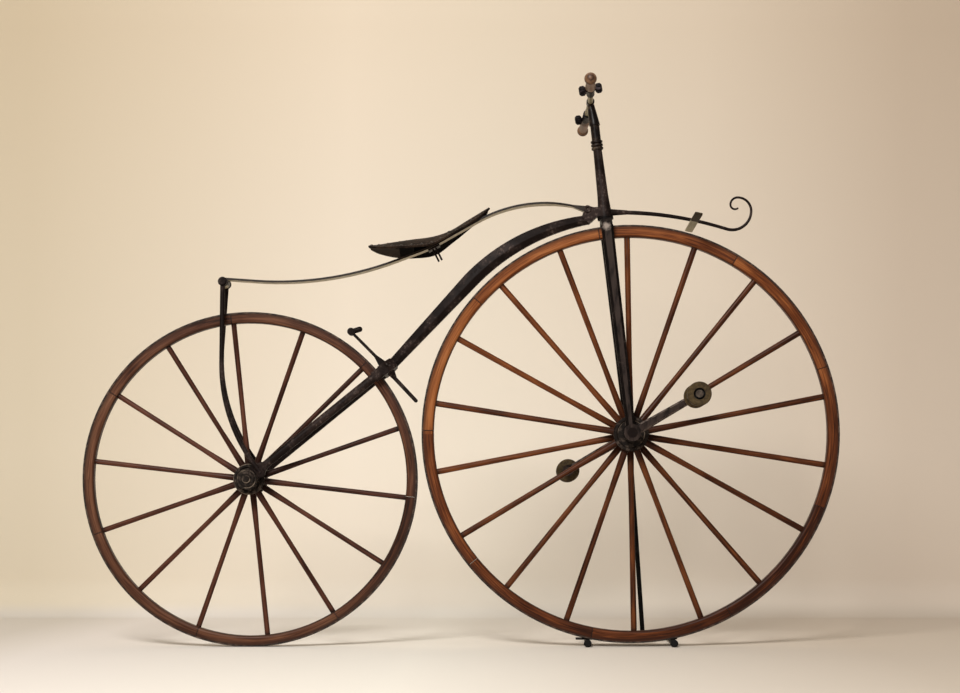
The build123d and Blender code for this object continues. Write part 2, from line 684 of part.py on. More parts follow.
def spring_seat():
    """The room between the cheeks for the spring's eye and for the leaf behind it."""
    up = HEAD_FOOT + SPRING_BOLT_UP
    room = across(-SPRING_BOLT_BACK, up, SPRING_EYE_RADIUS + SPRING_EYE_CLEAR, -NECK_HALF, NECK_HALF)
    mouth = Box(SPRING_ROOT, 2 * NECK_HALF, 3 * SPRING_EYE_RADIUS)
    room += Pos(-SPRING_BOLT_BACK - SPRING_ROOT / 2, 0, up + SPRING_EYE_RADIUS / 2) * mouth
    return STEER * room


def head():
    knee = HEAD_FOOT + HEAD_KNEE
    return STEER * turned((
        (0, HEAD_FOOT), (HEAD_FOOT_RADIUS, HEAD_FOOT), (HEAD_KNEE_RADIUS, knee),
        (HEAD_TOP_RADIUS, HEAD_TOP), (0, HEAD_TOP),
    ))


def rear_crown():
    """A block outside the rear tyre with two lugs that reach down beside it."""
    low = REAR_RADIUS + REAR_CROWN_CLEAR
    high = low + REAR_CROWN_LENGTH
    lug_inner = TYRE_WIDTH / 2 + LEG_TYRE_CLEAR
    half = lug_inner + REAR_LUG_THICK
    block = Pos((low + high) / 2, 0, 0) * Box(REAR_CROWN_LENGTH, 2 * half, REAR_CROWN_DEPTH)
    corners = block.edges().filter_by(Axis.Z).sort_by(Axis.X)[-2:]
    block = chamfer(corners, REAR_CROWN_LENGTH * 3 / 5)
    block = chamfer(block.faces().sort_by(Axis.X)[-1].edges().filter_by(Axis.Y), REAR_CROWN_BEVEL)
    for _, side in SIDES:
        y = side * (lug_inner + REAR_LUG_THICK / 2)
        lug = Box(REAR_LUG_LENGTH + BITE, REAR_LUG_THICK, REAR_LUG_DEPTH)
        lug = chamfer(lug.edges().filter_by(Axis.X), REAR_CROWN_BEVEL)
        block += Pos(low - REAR_LUG_LENGTH / 2 + BITE / 2, y, 0) * lug
    return LEGS * block


def backbone():
    """Head, neck, spine and rear crown, forged as one, bored for the steerer."""
    body = head() + neck() + spine() + rear_crown() - spring_seat()
    return body - STEER * upright(STEERER_RADIUS + RUNNING, HEAD_LENGTH, HEAD_FOOT)


REAR_EYE_INNER = HUB_HALF + SIDE_CLEAR
REAR_EYE_OUTER = REAR_EYE_INNER + REAR_EYE_THICK


def rear_leg(side):
    """A round tapering leg from the crown's lug down to a flat end that holds the axle."""
    low = REAR_RADIUS + REAR_CROWN_CLEAR - REAR_LUG_LENGTH
    lug_y = TYRE_WIDTH / 2 + LEG_TYRE_CLEAR + REAR_LUG_THICK / 2
    eye_y = (REAR_EYE_INNER + REAR_EYE_OUTER) / 2
    top = Plane(origin=(low, side * lug_y, 0), z_dir=(1, 0, 0))
    foot = Plane(origin=(REAR_EYE_TAIL / 2, side * eye_y, 0), z_dir=(1, 0, 0))
    leg = loft([foot * Circle(REAR_LEG_FOOT_RADIUS), top * Circle(REAR_LEG_TOP_RADIUS)], ruled=True)
    inner, outer = side * REAR_EYE_INNER, side * REAR_EYE_OUTER
    leg += across(0, 0, REAR_EYE_RADIUS, inner, outer)
    leg += across(REAR_EYE_TAIL, 0, REAR_EYE_TAIL_RADIUS, inner, outer)
    lean = acos((REAR_EYE_RADIUS - REAR_EYE_TAIL_RADIUS) / REAR_EYE_TAIL)
    c, s = cos(lean), sin(lean)
    web = make_face(Polyline(
        (REAR_EYE_RADIUS * c, REAR_EYE_RADIUS * s), (REAR_EYE_RADIUS * c, -REAR_EYE_RADIUS * s),
        (REAR_EYE_TAIL + REAR_EYE_TAIL_RADIUS * c, -REAR_EYE_TAIL_RADIUS * s),
        (REAR_EYE_TAIL + REAR_EYE_TAIL_RADIUS * c, REAR_EYE_TAIL_RADIUS * s), close=True,
    ))
    leg += slab(Plane.XZ, web, inner, outer)
    leg -= across(0, 0, REAR_AXLE_RADIUS, inner, outer)
    return LEGS * leg


def rear_axle():
    return across(REAR_X, REAR_Z, REAR_AXLE_RADIUS, -REAR_EYE_OUTER, REAR_EYE_OUTER)


def axle_cap(side):
    """A turned cap in steps over the end of the rear axle."""
    steps = [(0, 0)]
    height = 0
    for radius, rise in CAP_STEPS:
        steps += [(radius, height), (radius - rise / 2, height + rise)]
        height += rise
    steps.append((0, height))
    place = Plane(origin=(REAR_X, side * REAR_EYE_OUTER, REAR_Z), x_dir=(1, 0, 0), z_dir=(0, side, 0))
    return place * turned(steps)


# Spring, stays and saddle


BOLT_PLACE = STEER.from_local_coords(Vector(-SPRING_BOLT_BACK, 0, HEAD_FOOT + SPRING_BOLT_UP))
TAIL_X = REAR_X - STAY_BACK
TAIL_Z = REAR_Z + REAR_RADIUS + SPRING_TAIL_CLEAR
LEAF_END_Z = TAIL_Z + SPRING_ROLL_RADIUS - SPRING_THICK / 2


def spring_path():
    """The leaf's middle line: up from the neck, down under the saddle and level to the stays."""
    run = BOLT_PLACE.X - TAIL_X
    fall = BOLT_PLACE.Z - LEAF_END_Z
    points = [(BOLT_PLACE.X, 0, BOLT_PLACE.Z)]
    points += [(BOLT_PLACE.X - along * run, 0, BOLT_PLACE.Z - along * fall + rise * run)
               for along, rise, _ in SPRING_ROUTE]
    points.append((TAIL_X, 0, LEAF_END_Z))
    return FilletPolyline(*points, radius=[bend * run for _, _, bend in SPRING_ROUTE])


def leaf_plane(path, place):
    """A plane square to the spring at a place along it, with its Y up out of the leaf."""
    return Plane(origin=path @ place, x_dir=(0, -1, 0), z_dir=path % place)


def spring():
    """A flat leaf from the neck's cheeks, with an eye there, back to the stays, where its end is rolled down."""
    path = spring_path()
    leaf = sweep(leaf_plane(path, 0) * Rectangle(SPRING_WIDTH, SPRING_THICK), path=path)
    half = SPRING_NOSE_WIDTH / 2
    narrow_end, wide_start = SPRING_NOSE
    for _, side in SIDES:
        beside = make_face(Polyline(
            (SPRING_WIDTH, side * half), (-narrow_end, side * half), (-wide_start, side * SPRING_WIDTH / 2),
            (-wide_start, side * SPRING_WIDTH), (SPRING_WIDTH, side * SPRING_WIDTH), close=True,
        ))
        leaf -= Pos(BOLT_PLACE) * extrude(beside, amount=wide_start, both=True)
    root = leaf_plane(path, 0) * Rectangle(SPRING_NOSE_WIDTH, 2 * SPRING_EYE_RADIUS)
    tip_place = SPRING_ROOT / path.length
    tip = leaf_plane(path, tip_place) * Rectangle(SPRING_NOSE_WIDTH, SPRING_THICK)
    leaf += loft([root, tip], ruled=True)
    leaf += across(BOLT_PLACE.X, BOLT_PLACE.Z, SPRING_EYE_RADIUS, -half, half)
    leaf += across(TAIL_X, TAIL_Z, SPRING_ROLL_RADIUS, -SPRING_WIDTH / 2, SPRING_WIDTH / 2)
    leaf -= across(BOLT_PLACE.X, BOLT_PLACE.Z, SPRING_BOLT_RADIUS, -half, half)
    leaf -= across(TAIL_X, TAIL_Z, STAY_BOLT_RADIUS, -SPRING_WIDTH, SPRING_WIDTH)
    return leaf


def spring_bolt():
    outer = NECK_HALF + CHEEK_THICK
    bolt = across(BOLT_PLACE.X, BOLT_PLACE.Z, SPRING_BOLT_RADIUS, -outer, outer)
    for _, side in SIDES:
        bolt += across(BOLT_PLACE.X, BOLT_PLACE.Z, SPRING_BOLT_HEAD, side * outer,
                       side * (outer + SPRING_BOLT_HEAD_THICK))
        bolt -= across(BOLT_PLACE.X, BOLT_PLACE.Z, SPRING_BOLT_DIMPLE, side * outer,
                       side * (outer + SPRING_BOLT_HEAD_THICK))
    return bolt


STAY_FOOT_HALF = REAR_EYE_OUTER + STAY_EYE_THICK / 2


def stay(side):
    """A round stay, straight below the spring's tail and bent forward to the rear fork's end."""
    forward, up = STAY_FEET[side]
    foot_x, foot_z = REAR_X + forward, REAR_Z + up
    lean = atan2(STAY_FOOT_HALF - STAY_TOP_HALF, TAIL_Z - foot_z)
    swing = radians(STAY_SWING[side])
    down = Vector(0, side * sin(lean), -cos(lean))
    plane = Plane(origin=(TAIL_X, side * STAY_TOP_HALF, TAIL_Z),
                  x_dir=Vector(1, 0, 0) * cos(swing) + down * sin(swing), z_dir=(0, cos(lean), side * sin(lean)))
    foot = plane.to_local_coords(Vector(foot_x, side * STAY_FOOT_HALF, foot_z))
    turn = acos(1 - foot.X / STAY_BEND)
    knee = foot.Y - STAY_BEND * sin(turn)
    middle = (STAY_BEND * (1 - cos(turn / 2)), knee + STAY_BEND * sin(turn / 2))
    path = plane * (Line((0, 0), (0, knee)) + ThreePointArc((0, knee), middle, (foot.X, foot.Y)))
    rod = sweep(Plane(origin=path @ 0, z_dir=path % 0) * Circle(STAY_RADIUS), path=path)
    half = STAY_EYE_THICK / 2
    foot_inner, foot_outer = side * (STAY_FOOT_HALF - half), side * (STAY_FOOT_HALF + half)
    rod += across(foot_x, foot_z, STAY_EYE_RADIUS, foot_inner, foot_outer)
    top_inner, top_outer = side * (STAY_TOP_HALF - half), side * (STAY_TOP_HALF + half)
    rod += across(TAIL_X, TAIL_Z, STAY_EYE_RADIUS, top_inner, top_outer)
    rod -= across(TAIL_X, TAIL_Z, STAY_BOLT_RADIUS, 0, side * STAY_FOOT_HALF)
    rod -= across(TAIL_X, TAIL_Z, STAY_EYE_RADIUS + BITE, top_outer, side * STAY_FOOT_HALF)
    rod -= across(TAIL_X, TAIL_Z, STAY_EYE_RADIUS + BITE, 0, top_inner)
    beside_eye = Pos(REAR_X, 0, REAR_Z) * Box(4 * REAR_EYE_TAIL, 2 * REAR_EYE_OUTER, 2 * REAR_EYE_TAIL)
    return rod - beside_eye


def stay_bolt():
    """The cross bolt through the spring's tail, with spacers' width left open and a knob at each end."""
    outer = STAY_TOP_HALF + STAY_EYE_THICK / 2
    bolt = across(TAIL_X, TAIL_Z, STAY_BOLT_RADIUS, -outer, outer)
    for _, side in SIDES:
        knob_end = side * (outer + STAY_EYE_THICK)
        bolt += across(TAIL_X, TAIL_Z, STAY_KNOB_RADIUS, side * outer, knob_end)
    return bolt


def saddle():
    """An arched leather seat lofted through its sections, with a block under it on the spring."""
    path = spring_path()
    sections = []
    crests = []
    for behind, crest, edge, half in SADDLE_SECTIONS:
        x = BOLT_PLACE.X - behind
        z = (path @ place_at(path, x)).Z
        inner = half - SADDLE_THICK
        arch = ThreePointArc((half, edge), (0, crest), (-half, edge)) + Line((-half, edge), (-inner, edge))
        arch += ThreePointArc((-inner, edge), (0, crest - SADDLE_THICK), (inner, edge))
        arch += Line((inner, edge), (half, edge))
        sections.append(Plane(origin=(x, 0, z), x_dir=(0, 1, 0), z_dir=(1, 0, 0)) * make_face(arch))
        crests.append((x, z + crest - SADDLE_THICK / 2))
    shell = loft(sections)
    top = crests[SADDLE_BLOCK]
    low = [(x, z - SADDLE_BLOCK_DEPTH) for x, z in reversed(top)]
    block = make_face(Polyline(*top, *low, close=True))
    shell += slab(Plane.XZ, block, -SADDLE_BLOCK_HALF, SADDLE_BLOCK_HALF)
    gap = SPRING_THICK + 2 * SADDLE_SEAT
    below = Pos(0, gap / 2 - TAIL_Z / 2) * Rectangle(SPRING_WIDTH + 2 * SADDLE_SEAT, TAIL_Z)
    return shell - sweep(leaf_plane(path, 0) * below, path=path)


# Leg rest


def rest_path():
    """The bar's run forward from the head and down a gentle bend."""
    root = STEER.from_local_coords(Vector(HEAD_FOOT_RADIUS / 2, 0, HEAD_FOOT + REST_UP))
    bend, radius = REST_BEND
    drop = (SCROLL_START - bend) * tan(radians(REST_SLOPE))
    return FilletPolyline(root, (FRONT_X + bend, 0, root.Z), (FRONT_X + SCROLL_START, 0, root.Z - drop),
                          radius=radius)


def rest_scroll(start):
    """Arcs of shrinking radius: up, back, down and forward again."""
    x, z = start.X, start.Z
    wire = []
    heading = -REST_SLOPE
    for radius, end_heading in SCROLL:
        turn_in = polar(radius, heading + 90)
        cx, cz = x + turn_in[0], z + turn_in[1]
        route = [(x, 0, z)]
        for towards in ((heading + end_heading) / 2, end_heading):
            out = polar(radius, towards - 90)
            route.append((cx + out[0], 0, cz + out[1]))
        wire.append(ThreePointArc(*route))
        x, _, z = route[-1]
        heading = end_heading
    return Wire(wire)


def tapered(path, start_radius, end_radius):
    """A round bar along a path, thinner towards its end."""
    start = Plane(origin=path @ 0, z_dir=path % 0) * Circle(start_radius)
    end = Plane(origin=path @ 1, z_dir=path % 1) * Circle(end_radius)
    return sweep([start, end], path=path, multisection=True)


def leg_rest():
    path = rest_path()
    bar = tapered(path, REST_BAR_RADIUS, SCROLL_RADIUS)
    flare = turned((
        (0, 0), (REST_ROOT_RADIUS, 0), (REST_BAR_RADIUS, REST_ROOT_LENGTH), (0, REST_ROOT_LENGTH),
    ))
    bar += Plane(origin=path @ 0, z_dir=path % 0) * flare
    curl = rest_scroll(path @ 1)
    bar += tapered(curl, SCROLL_RADIUS, SCROLL_TIP_RADIUS)
    return bar + Pos(curl @ 1) * Sphere(SCROLL_TIP_RADIUS)


def rest_strip(rest):
    """A flat strip across and under the leg rest, notched for its bar."""
    path = rest_path()
    place = place_at(path, FRONT_X + REST_STRIP_FORWARD)
    strip = Box(REST_STRIP_WIDTH, 2 * REST_STRIP_HALF, REST_STRIP_THICK)
    strip = chamfer(strip.edges().filter_by(Axis.Z), REST_STRIP_WIDTH / 5)
    drop = SCROLL_RADIUS + REST_STRIP_THICK / 2 - BITE
    across_bar = Plane(origin=path @ place, x_dir=path % place, z_dir=(path % place).cross(Vector(0, 1, 0)))
    return (across_bar * (Pos(0, 0, -drop) * strip)) - rest


# Lever on the rear crown


def lever_arm(points):
    """One arm of the lever, drawn from (out, along, half thickness) points."""
    near = [(REAR_RADIUS + out - half, along) for out, along, half in points]
    far = [(REAR_RADIUS + out + half, along) for out, along, half in reversed(points)]
    return slab(Plane.XZ, make_face(Polyline(*near, *far, close=True)), -LEVER_WIDTH / 2, LEVER_WIDTH / 2)


def lever():
    """A bar across the rear crown: a knuckle and peg at its upper end, a rounded tip below."""
    body = lever_arm(LEVER_UP) + lever_arm(LEVER_DOWN)
    out, along, _ = LEVER_UP[0]
    knuckle = REAR_RADIUS + out
    body += across(knuckle, along, KNUCKLE_RADIUS, -KNUCKLE_LENGTH / 2, KNUCKLE_LENGTH / 2)
    tilt = radians(PEG_RISE - LEG_ANGLE)
    peg = upright(PEG_RADIUS, PEG_LENGTH) + Pos(0, 0, PEG_LENGTH) * Sphere(PEG_RADIUS)
    body += Plane(origin=(knuckle, 0, along), z_dir=(cos(tilt), 0, sin(tilt))) * peg
    out, along, half = LEVER_DOWN[-1]
    body += across(REAR_RADIUS + out, along, half, -LEVER_WIDTH / 2, LEVER_WIDTH / 2)
    return LEGS * body


def saddle_clip():
    """A plate under the spring with two prongs that draw the saddle down."""
    path = spring_path()
    under = leaf_plane(path, place_at(path, BOLT_PLACE.X - CLIP_BACK))
    sink = (SPRING_THICK + CLIP_THICK) / 2 + SADDLE_SEAT
    plate = Pos(0, -sink, 0) * Box(SPRING_WIDTH, CLIP_THICK, CLIP_LENGTH)
    for end in (-1, 1):
        prong = Pos(0, -SPRING_THICK / 2 - CLIP_THICK - CLIP_PRONG_LENGTH / 2, end * CLIP_PRONG_SPACING / 2)
        plate += prong * Rot(90, 0, 0) * Cylinder(CLIP_PRONG_RADIUS, CLIP_PRONG_LENGTH)
    return under * plate


# Display stand


POST_Y = FORK_EYE_INNER + FORK_EYE_THICK / 2


def stand_rods():
    rods = [across(FRONT_X + x, ROD_CAP_RADIUS, ROD_RADIUS, -ROD_NEAR, ROD_FAR)
            for x in (-ROD_HALF_SPAN, ROD_HALF_SPAN)]
    return Compound(children=rods)


def stand_caps():
    """Rubber caps over the rods' near ends."""
    caps = []
    for x in (-ROD_HALF_SPAN, ROD_HALF_SPAN):
        cap = across(FRONT_X + x, ROD_CAP_RADIUS, ROD_CAP_RADIUS, -ROD_NEAR - ROD_CAP_LENGTH / 3,
                     -ROD_NEAR + ROD_CAP_LENGTH * 2 / 3 - BITE)
        rim = cap.faces().sort_by(Axis.Y)[0].edges()
        cap = fillet(rim, ROD_CAP_RADIUS / 4)
        caps.append(cap - across(FRONT_X + x, ROD_CAP_RADIUS, ROD_RADIUS, -ROD_NEAR, 0))
    return Compound(children=caps)


def stand_foot_plate():
    """The flat bar under the rods' far ends, drilled for two floor screws."""
    plate = Box(2 * FOOT_PLATE_HALF, FOOT_PLATE_WIDTH, FOOT_PLATE_THICK,
                align=(Align.CENTER, Align.CENTER, Align.MIN))
    plate = chamfer(plate.edges().filter_by(Axis.Z), FOOT_PLATE_WIDTH / 6)
    for x in (-FOOT_HOLE_SPACING / 2, FOOT_HOLE_SPACING / 2):
        plate -= Pos(x, 0, 0) * Cylinder(FOOT_HOLE_RADIUS, 4 * FOOT_PLATE_THICK)
    return Pos(FRONT_X, FOOT_PLATE_Y, 0) * plate


BRIDGE_TOP = ROD_CAP_RADIUS + ROD_RADIUS + BRIDGE_THICK


def stand_bridge():
    """The flat bar across the rods that the post stands on."""
    bar = Box(2 * ROD_HALF_SPAN + BRIDGE_WIDTH, BRIDGE_WIDTH, BRIDGE_THICK,
              align=(Align.CENTER, Align.CENTER, Align.MAX))
    bar = chamfer(bar.edges().filter_by(Axis.Z), BRIDGE_WIDTH / 6)
    return Pos(FRONT_X, POST_Y, BRIDGE_TOP) * bar


def stand_post():
    """A slanting post from the bridge up to a clamp under the left fork eye."""
    foot = Vector(FRONT_X + POST_FOOT_FORWARD, POST_Y, BRIDGE_TOP)
    top = Vector(FRONT_X, POST_Y, FRONT_Z)
    run = top - foot
    clamp_start = run.length - FORK_EYE_RADIUS - POST_CLAMP_LENGTH * POST_CLAMP_SHOWS
    rod = upright(POST_RADIUS, run.length + POST_RADIUS)
    rod += upright(POST_CLAMP_RADIUS, POST_CLAMP_LENGTH, clamp_start)
    post = Plane(origin=foot - run.normalized() * POST_RADIUS, z_dir=run) * rod
    eye = across(FRONT_X, FRONT_Z, FORK_EYE_RADIUS, POST_Y - FORK_EYE_THICK, POST_Y + FORK_EYE_THICK)
    below = Pos(foot.X, foot.Y, BRIDGE_TOP - POST_RADIUS) * Box(*[4 * POST_RADIUS] * 2, 2 * POST_RADIUS)
    return (post - below - eye).solids().sort_by(SortBy.VOLUME)[-1]


# Assembly: one file for each node


def wheel_nodes():
    front_in = Pos(FRONT_AXLE)
    rear_in = Pos(REAR_AXLE)
    rear_bore = REAR_AXLE_RADIUS + RUNNING
    return {
        "front_tyre": front_in * tyre(FRONT_RADIUS),
        "front_felloes": front_in * felloes(FRONT_RADIUS, FRONT_FELLOE_DEPTH, FRONT_SPOKES,
                                            FRONT_SPOKE_PHASE),
        "front_spokes": front_in * spokes(FRONT_RADIUS, FRONT_FELLOE_DEPTH, FRONT_BARREL_RADIUS,
                                          FRONT_SPOKE_DIAS, FRONT_SPOKES, FRONT_SPOKE_PHASE),
        "front_hub": front_in * hub(FRONT_BARREL_RADIUS, FRONT_FLANGE_RADIUS, FRONT_AXLE_RADIUS),
        "front_axle": across(FRONT_X, FRONT_Z, FRONT_AXLE_RADIUS, -CRANK_OUTER, CRANK_OUTER),
        "rear_tyre": rear_in * tyre(REAR_RADIUS),
        "rear_felloes": rear_in * felloes(REAR_RADIUS, REAR_FELLOE_DEPTH, REAR_SPOKES,
                                          REAR_SPOKE_PHASE),
        "rear_spokes": rear_in * spokes(REAR_RADIUS, REAR_FELLOE_DEPTH, REAR_BARREL_RADIUS,
                                        REAR_SPOKE_DIAS, REAR_SPOKES, REAR_SPOKE_PHASE),
        "rear_hub": rear_in * hub(REAR_BARREL_RADIUS, REAR_FLANGE_RADIUS, rear_bore),
        "rear_axle": rear_axle(),
    }


def frame_nodes():
    body = backbone()
    rest = leg_rest() - body
    return {
        "backbone": body,
        "leg_rest_scroll": rest,
        "leg_rest_strip": rest_strip(rest),
        "brake_lever": lever() - body,
        "spring": spring(),
        "spring_bolt": spring_bolt(),
        "saddle": saddle(),
        "saddle_clip": saddle_clip(),
        "spring_tail_bolt": stay_bolt(),
    }


def stand_nodes():
    return {
        "stand_rods": stand_rods(),
        "stand_caps": stand_caps(),
        "stand_foot_plate": stand_foot_plate(),
        "stand_bridge": stand_bridge(),
        "stand_post": stand_post(),
    }


def side_nodes(name, side):
    front_in = Pos(FRONT_AXLE)
    return {
        f"fork_leg_{name}": fork_leg(side),
        f"grip_{name}": grip(side),
        f"bar_clamp_{name}": bar_clamp(side),
        f"crank_{name}": front_in * crank(side),
        f"pedal_pin_{name}": front_in * pedal_pin(side),
        f"pedal_{name}": front_in * pedal(side),
        f"rear_fork_leg_{name}": rear_leg(side),
        f"rear_stay_{name}": stay(side),
        f"rear_axle_cap_{name}": axle_cap(side),
    }


nodes = {"fork_crown": fork_crown(), "stem": stem(), "handlebar": handlebar()}
nodes.update(wheel_nodes())
nodes.update(frame_nodes())
nodes.update(stand_nodes())
for side_name, side_sign in SIDES:
    nodes.update(side_nodes(side_name, side_sign))

os.makedirs("parts", exist_ok=True)
for node, solid in nodes.items():
    export_step(solid, f"parts/{node}.step")
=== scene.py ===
"""A velocipede of about 1869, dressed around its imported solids: wooden wheels, forged iron, old leather.

Units are metres in the solids' own frame: +X forward, +Y the rider's left, +Z up. Names ending in _MM
are millimetres, the sizes at which a finish shows its grain; so are the sizes of saddle and fastenings.
"""
import json
from math import asin, cos, pi, radians, sin

import bpy
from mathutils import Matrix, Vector


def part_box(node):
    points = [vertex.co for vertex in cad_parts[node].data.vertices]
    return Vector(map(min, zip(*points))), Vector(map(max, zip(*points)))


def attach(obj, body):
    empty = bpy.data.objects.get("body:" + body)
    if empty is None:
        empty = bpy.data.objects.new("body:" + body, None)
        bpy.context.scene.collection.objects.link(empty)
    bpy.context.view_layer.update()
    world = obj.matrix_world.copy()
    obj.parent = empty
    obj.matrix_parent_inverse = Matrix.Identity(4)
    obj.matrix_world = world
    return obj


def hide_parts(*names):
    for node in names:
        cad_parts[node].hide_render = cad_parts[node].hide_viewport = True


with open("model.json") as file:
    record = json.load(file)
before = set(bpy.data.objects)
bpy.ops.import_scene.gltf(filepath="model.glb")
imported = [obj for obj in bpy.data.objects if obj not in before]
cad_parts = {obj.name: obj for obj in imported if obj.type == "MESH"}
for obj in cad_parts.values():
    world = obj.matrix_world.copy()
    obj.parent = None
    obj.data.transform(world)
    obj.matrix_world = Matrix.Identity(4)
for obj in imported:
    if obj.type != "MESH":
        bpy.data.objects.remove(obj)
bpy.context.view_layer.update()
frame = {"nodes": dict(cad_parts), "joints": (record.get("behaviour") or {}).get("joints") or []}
NODES = frame["nodes"]
MM = 0.001

# The camera stands square to the machine's right side, low down, with the lens shifted up.
PHOTO_WIDTH = 960
PHOTO_HEIGHT = 693
EYE_POINT = (526.0, 507.0)
EYE_DISTANCE = 4.15
METRES_PER_PIXEL = 2.397 * MM
FRONT_AXLE_PIXEL = (630.4, 434.2)
SENSOR_MM = 36

JOINTS = {joint["name"]: joint for joint in frame["joints"]}
FRONT_AXLE = Vector(JOINTS["front_wheel_spin"]["pos_m"])
REAR_AXLE = Vector(JOINTS["rear_wheel_spin"]["pos_m"])
SIDES = (("right", -1), ("left", 1))


def both(stem):
    return [f"{stem}_{side}" for side, _ in SIDES]


def linear(hex_colour):
    """An sRGB hex value as the linear colour that a shader takes."""
    values = [int(hex_colour[i:i + 2], 16) / 255 for i in (1, 3, 5)]
    return tuple(v / 12.92 if v <= 0.04045 else ((v + 0.055) / 1.055) ** 2.4 for v in values) + (1.0,)


def add(tree, kind, inputs=None, stops=(), **settings):
    """A node with its settings; each input takes a value or the socket that feeds it.

    stops are the places and hex colours along a colour ramp.
    """
    made = tree.nodes.new(kind)
    for name, value in settings.items():
        setattr(made, name, value)
    for key, value in (inputs or {}).items():
        if isinstance(value, bpy.types.NodeSocket):
            tree.links.new(value, made.inputs[key])
        else:
            made.inputs[key].default_value = value
    points = made.color_ramp.elements if stops else ()
    while len(points) < len(stops):
        points.new(0.5)
    for point, (place, colour) in zip(points, stops):
        point.position = place
        point.color = linear(colour)
    return made


def finish(name, roughness, metallic=0.0, ior=1.5, shine=0.5):
    """A fresh material with its shader's even values set; returns it with its tree and shader."""
    material = bpy.data.materials.new(name)
    material.use_nodes = True
    tree = material.node_tree
    shader = tree.nodes["Principled BSDF"]
    shader.inputs["Roughness"].default_value = roughness
    shader.inputs["Metallic"].default_value = metallic
    shader.inputs["IOR"].default_value = ior
    shader.inputs["Specular IOR Level"].default_value = shine
    return material, tree, shader


# Finishes: the sizes in millimetres at which each one shows, and shares of the wood's tone

PATCH_MM = 60
SCUFF_MM = 7
STREAK_MM = 12
BEVEL_HIGHLIGHT_MM = 9
RAGGED_MM = 12
HAMMER_MM = 22
PIT_MM = 3
LEAF_MOTTLE_MM = 12
HUB_PATCH_MM = 9
RING_HIGHLIGHT_BREAK_MM = 26
RING_WIDTH_MM = 1.1
TOOL_MARK_MM = 4
WOOD_GRAIN_MM = (90, 3.2, 3.2)
WOOD_CLOUD_MM = 120
JOINT_LINE_MM = 1.4
GRAIN_SHARE = 0.62
CLOUD_SHARE = 0.30
STICK_SHARE = 0.09
RUST_MM = 14
RUST_PIT_MM = 2.5
BRONZE_MOTTLE_MM = 6
PEDAL_GREASE_MM = (14.2, 13.2)
PIN_GREASE_MM = (8.6, 9.4)
GROWTH_RING_MM = 11
HANDLE_GRAIN_MM = (3, 60, 3)
HIDE_PATCH_MM = 40
HIDE_CRACK_MM = 9
HIDE_PEBBLE_MM = 2.2
NAP_MM = 14
STRIP_MOTTLE_MM = 5
STRIP_DARK_TO_PALE_MM = (-28, -22)
RUBBER_SPECK_MM = 2.5


def rub(tree, place, size_mm, low, high):
    """A soft-edged mask of patches about size_mm across."""
    noise = add(tree, "ShaderNodeTexNoise", {"Vector": place, "Scale": 1000 / size_mm, "Detail": 4.0,
                                             "Roughness": 0.6})
    return add(tree, "ShaderNodeMapRange", {"Value": noise.outputs["Fac"], "From Min": low, "From Max": high},
               interpolation_type="SMOOTHSTEP").outputs["Result"]


def stained(tree, skin, mask, colour):
    """The skin with a colour laid over it where the mask is one."""
    made = add(tree, "ShaderNodeMix", {"Factor": mask, "A": skin, "B": linear(colour)}, data_type="RGBA")
    return made.outputs["Result"]


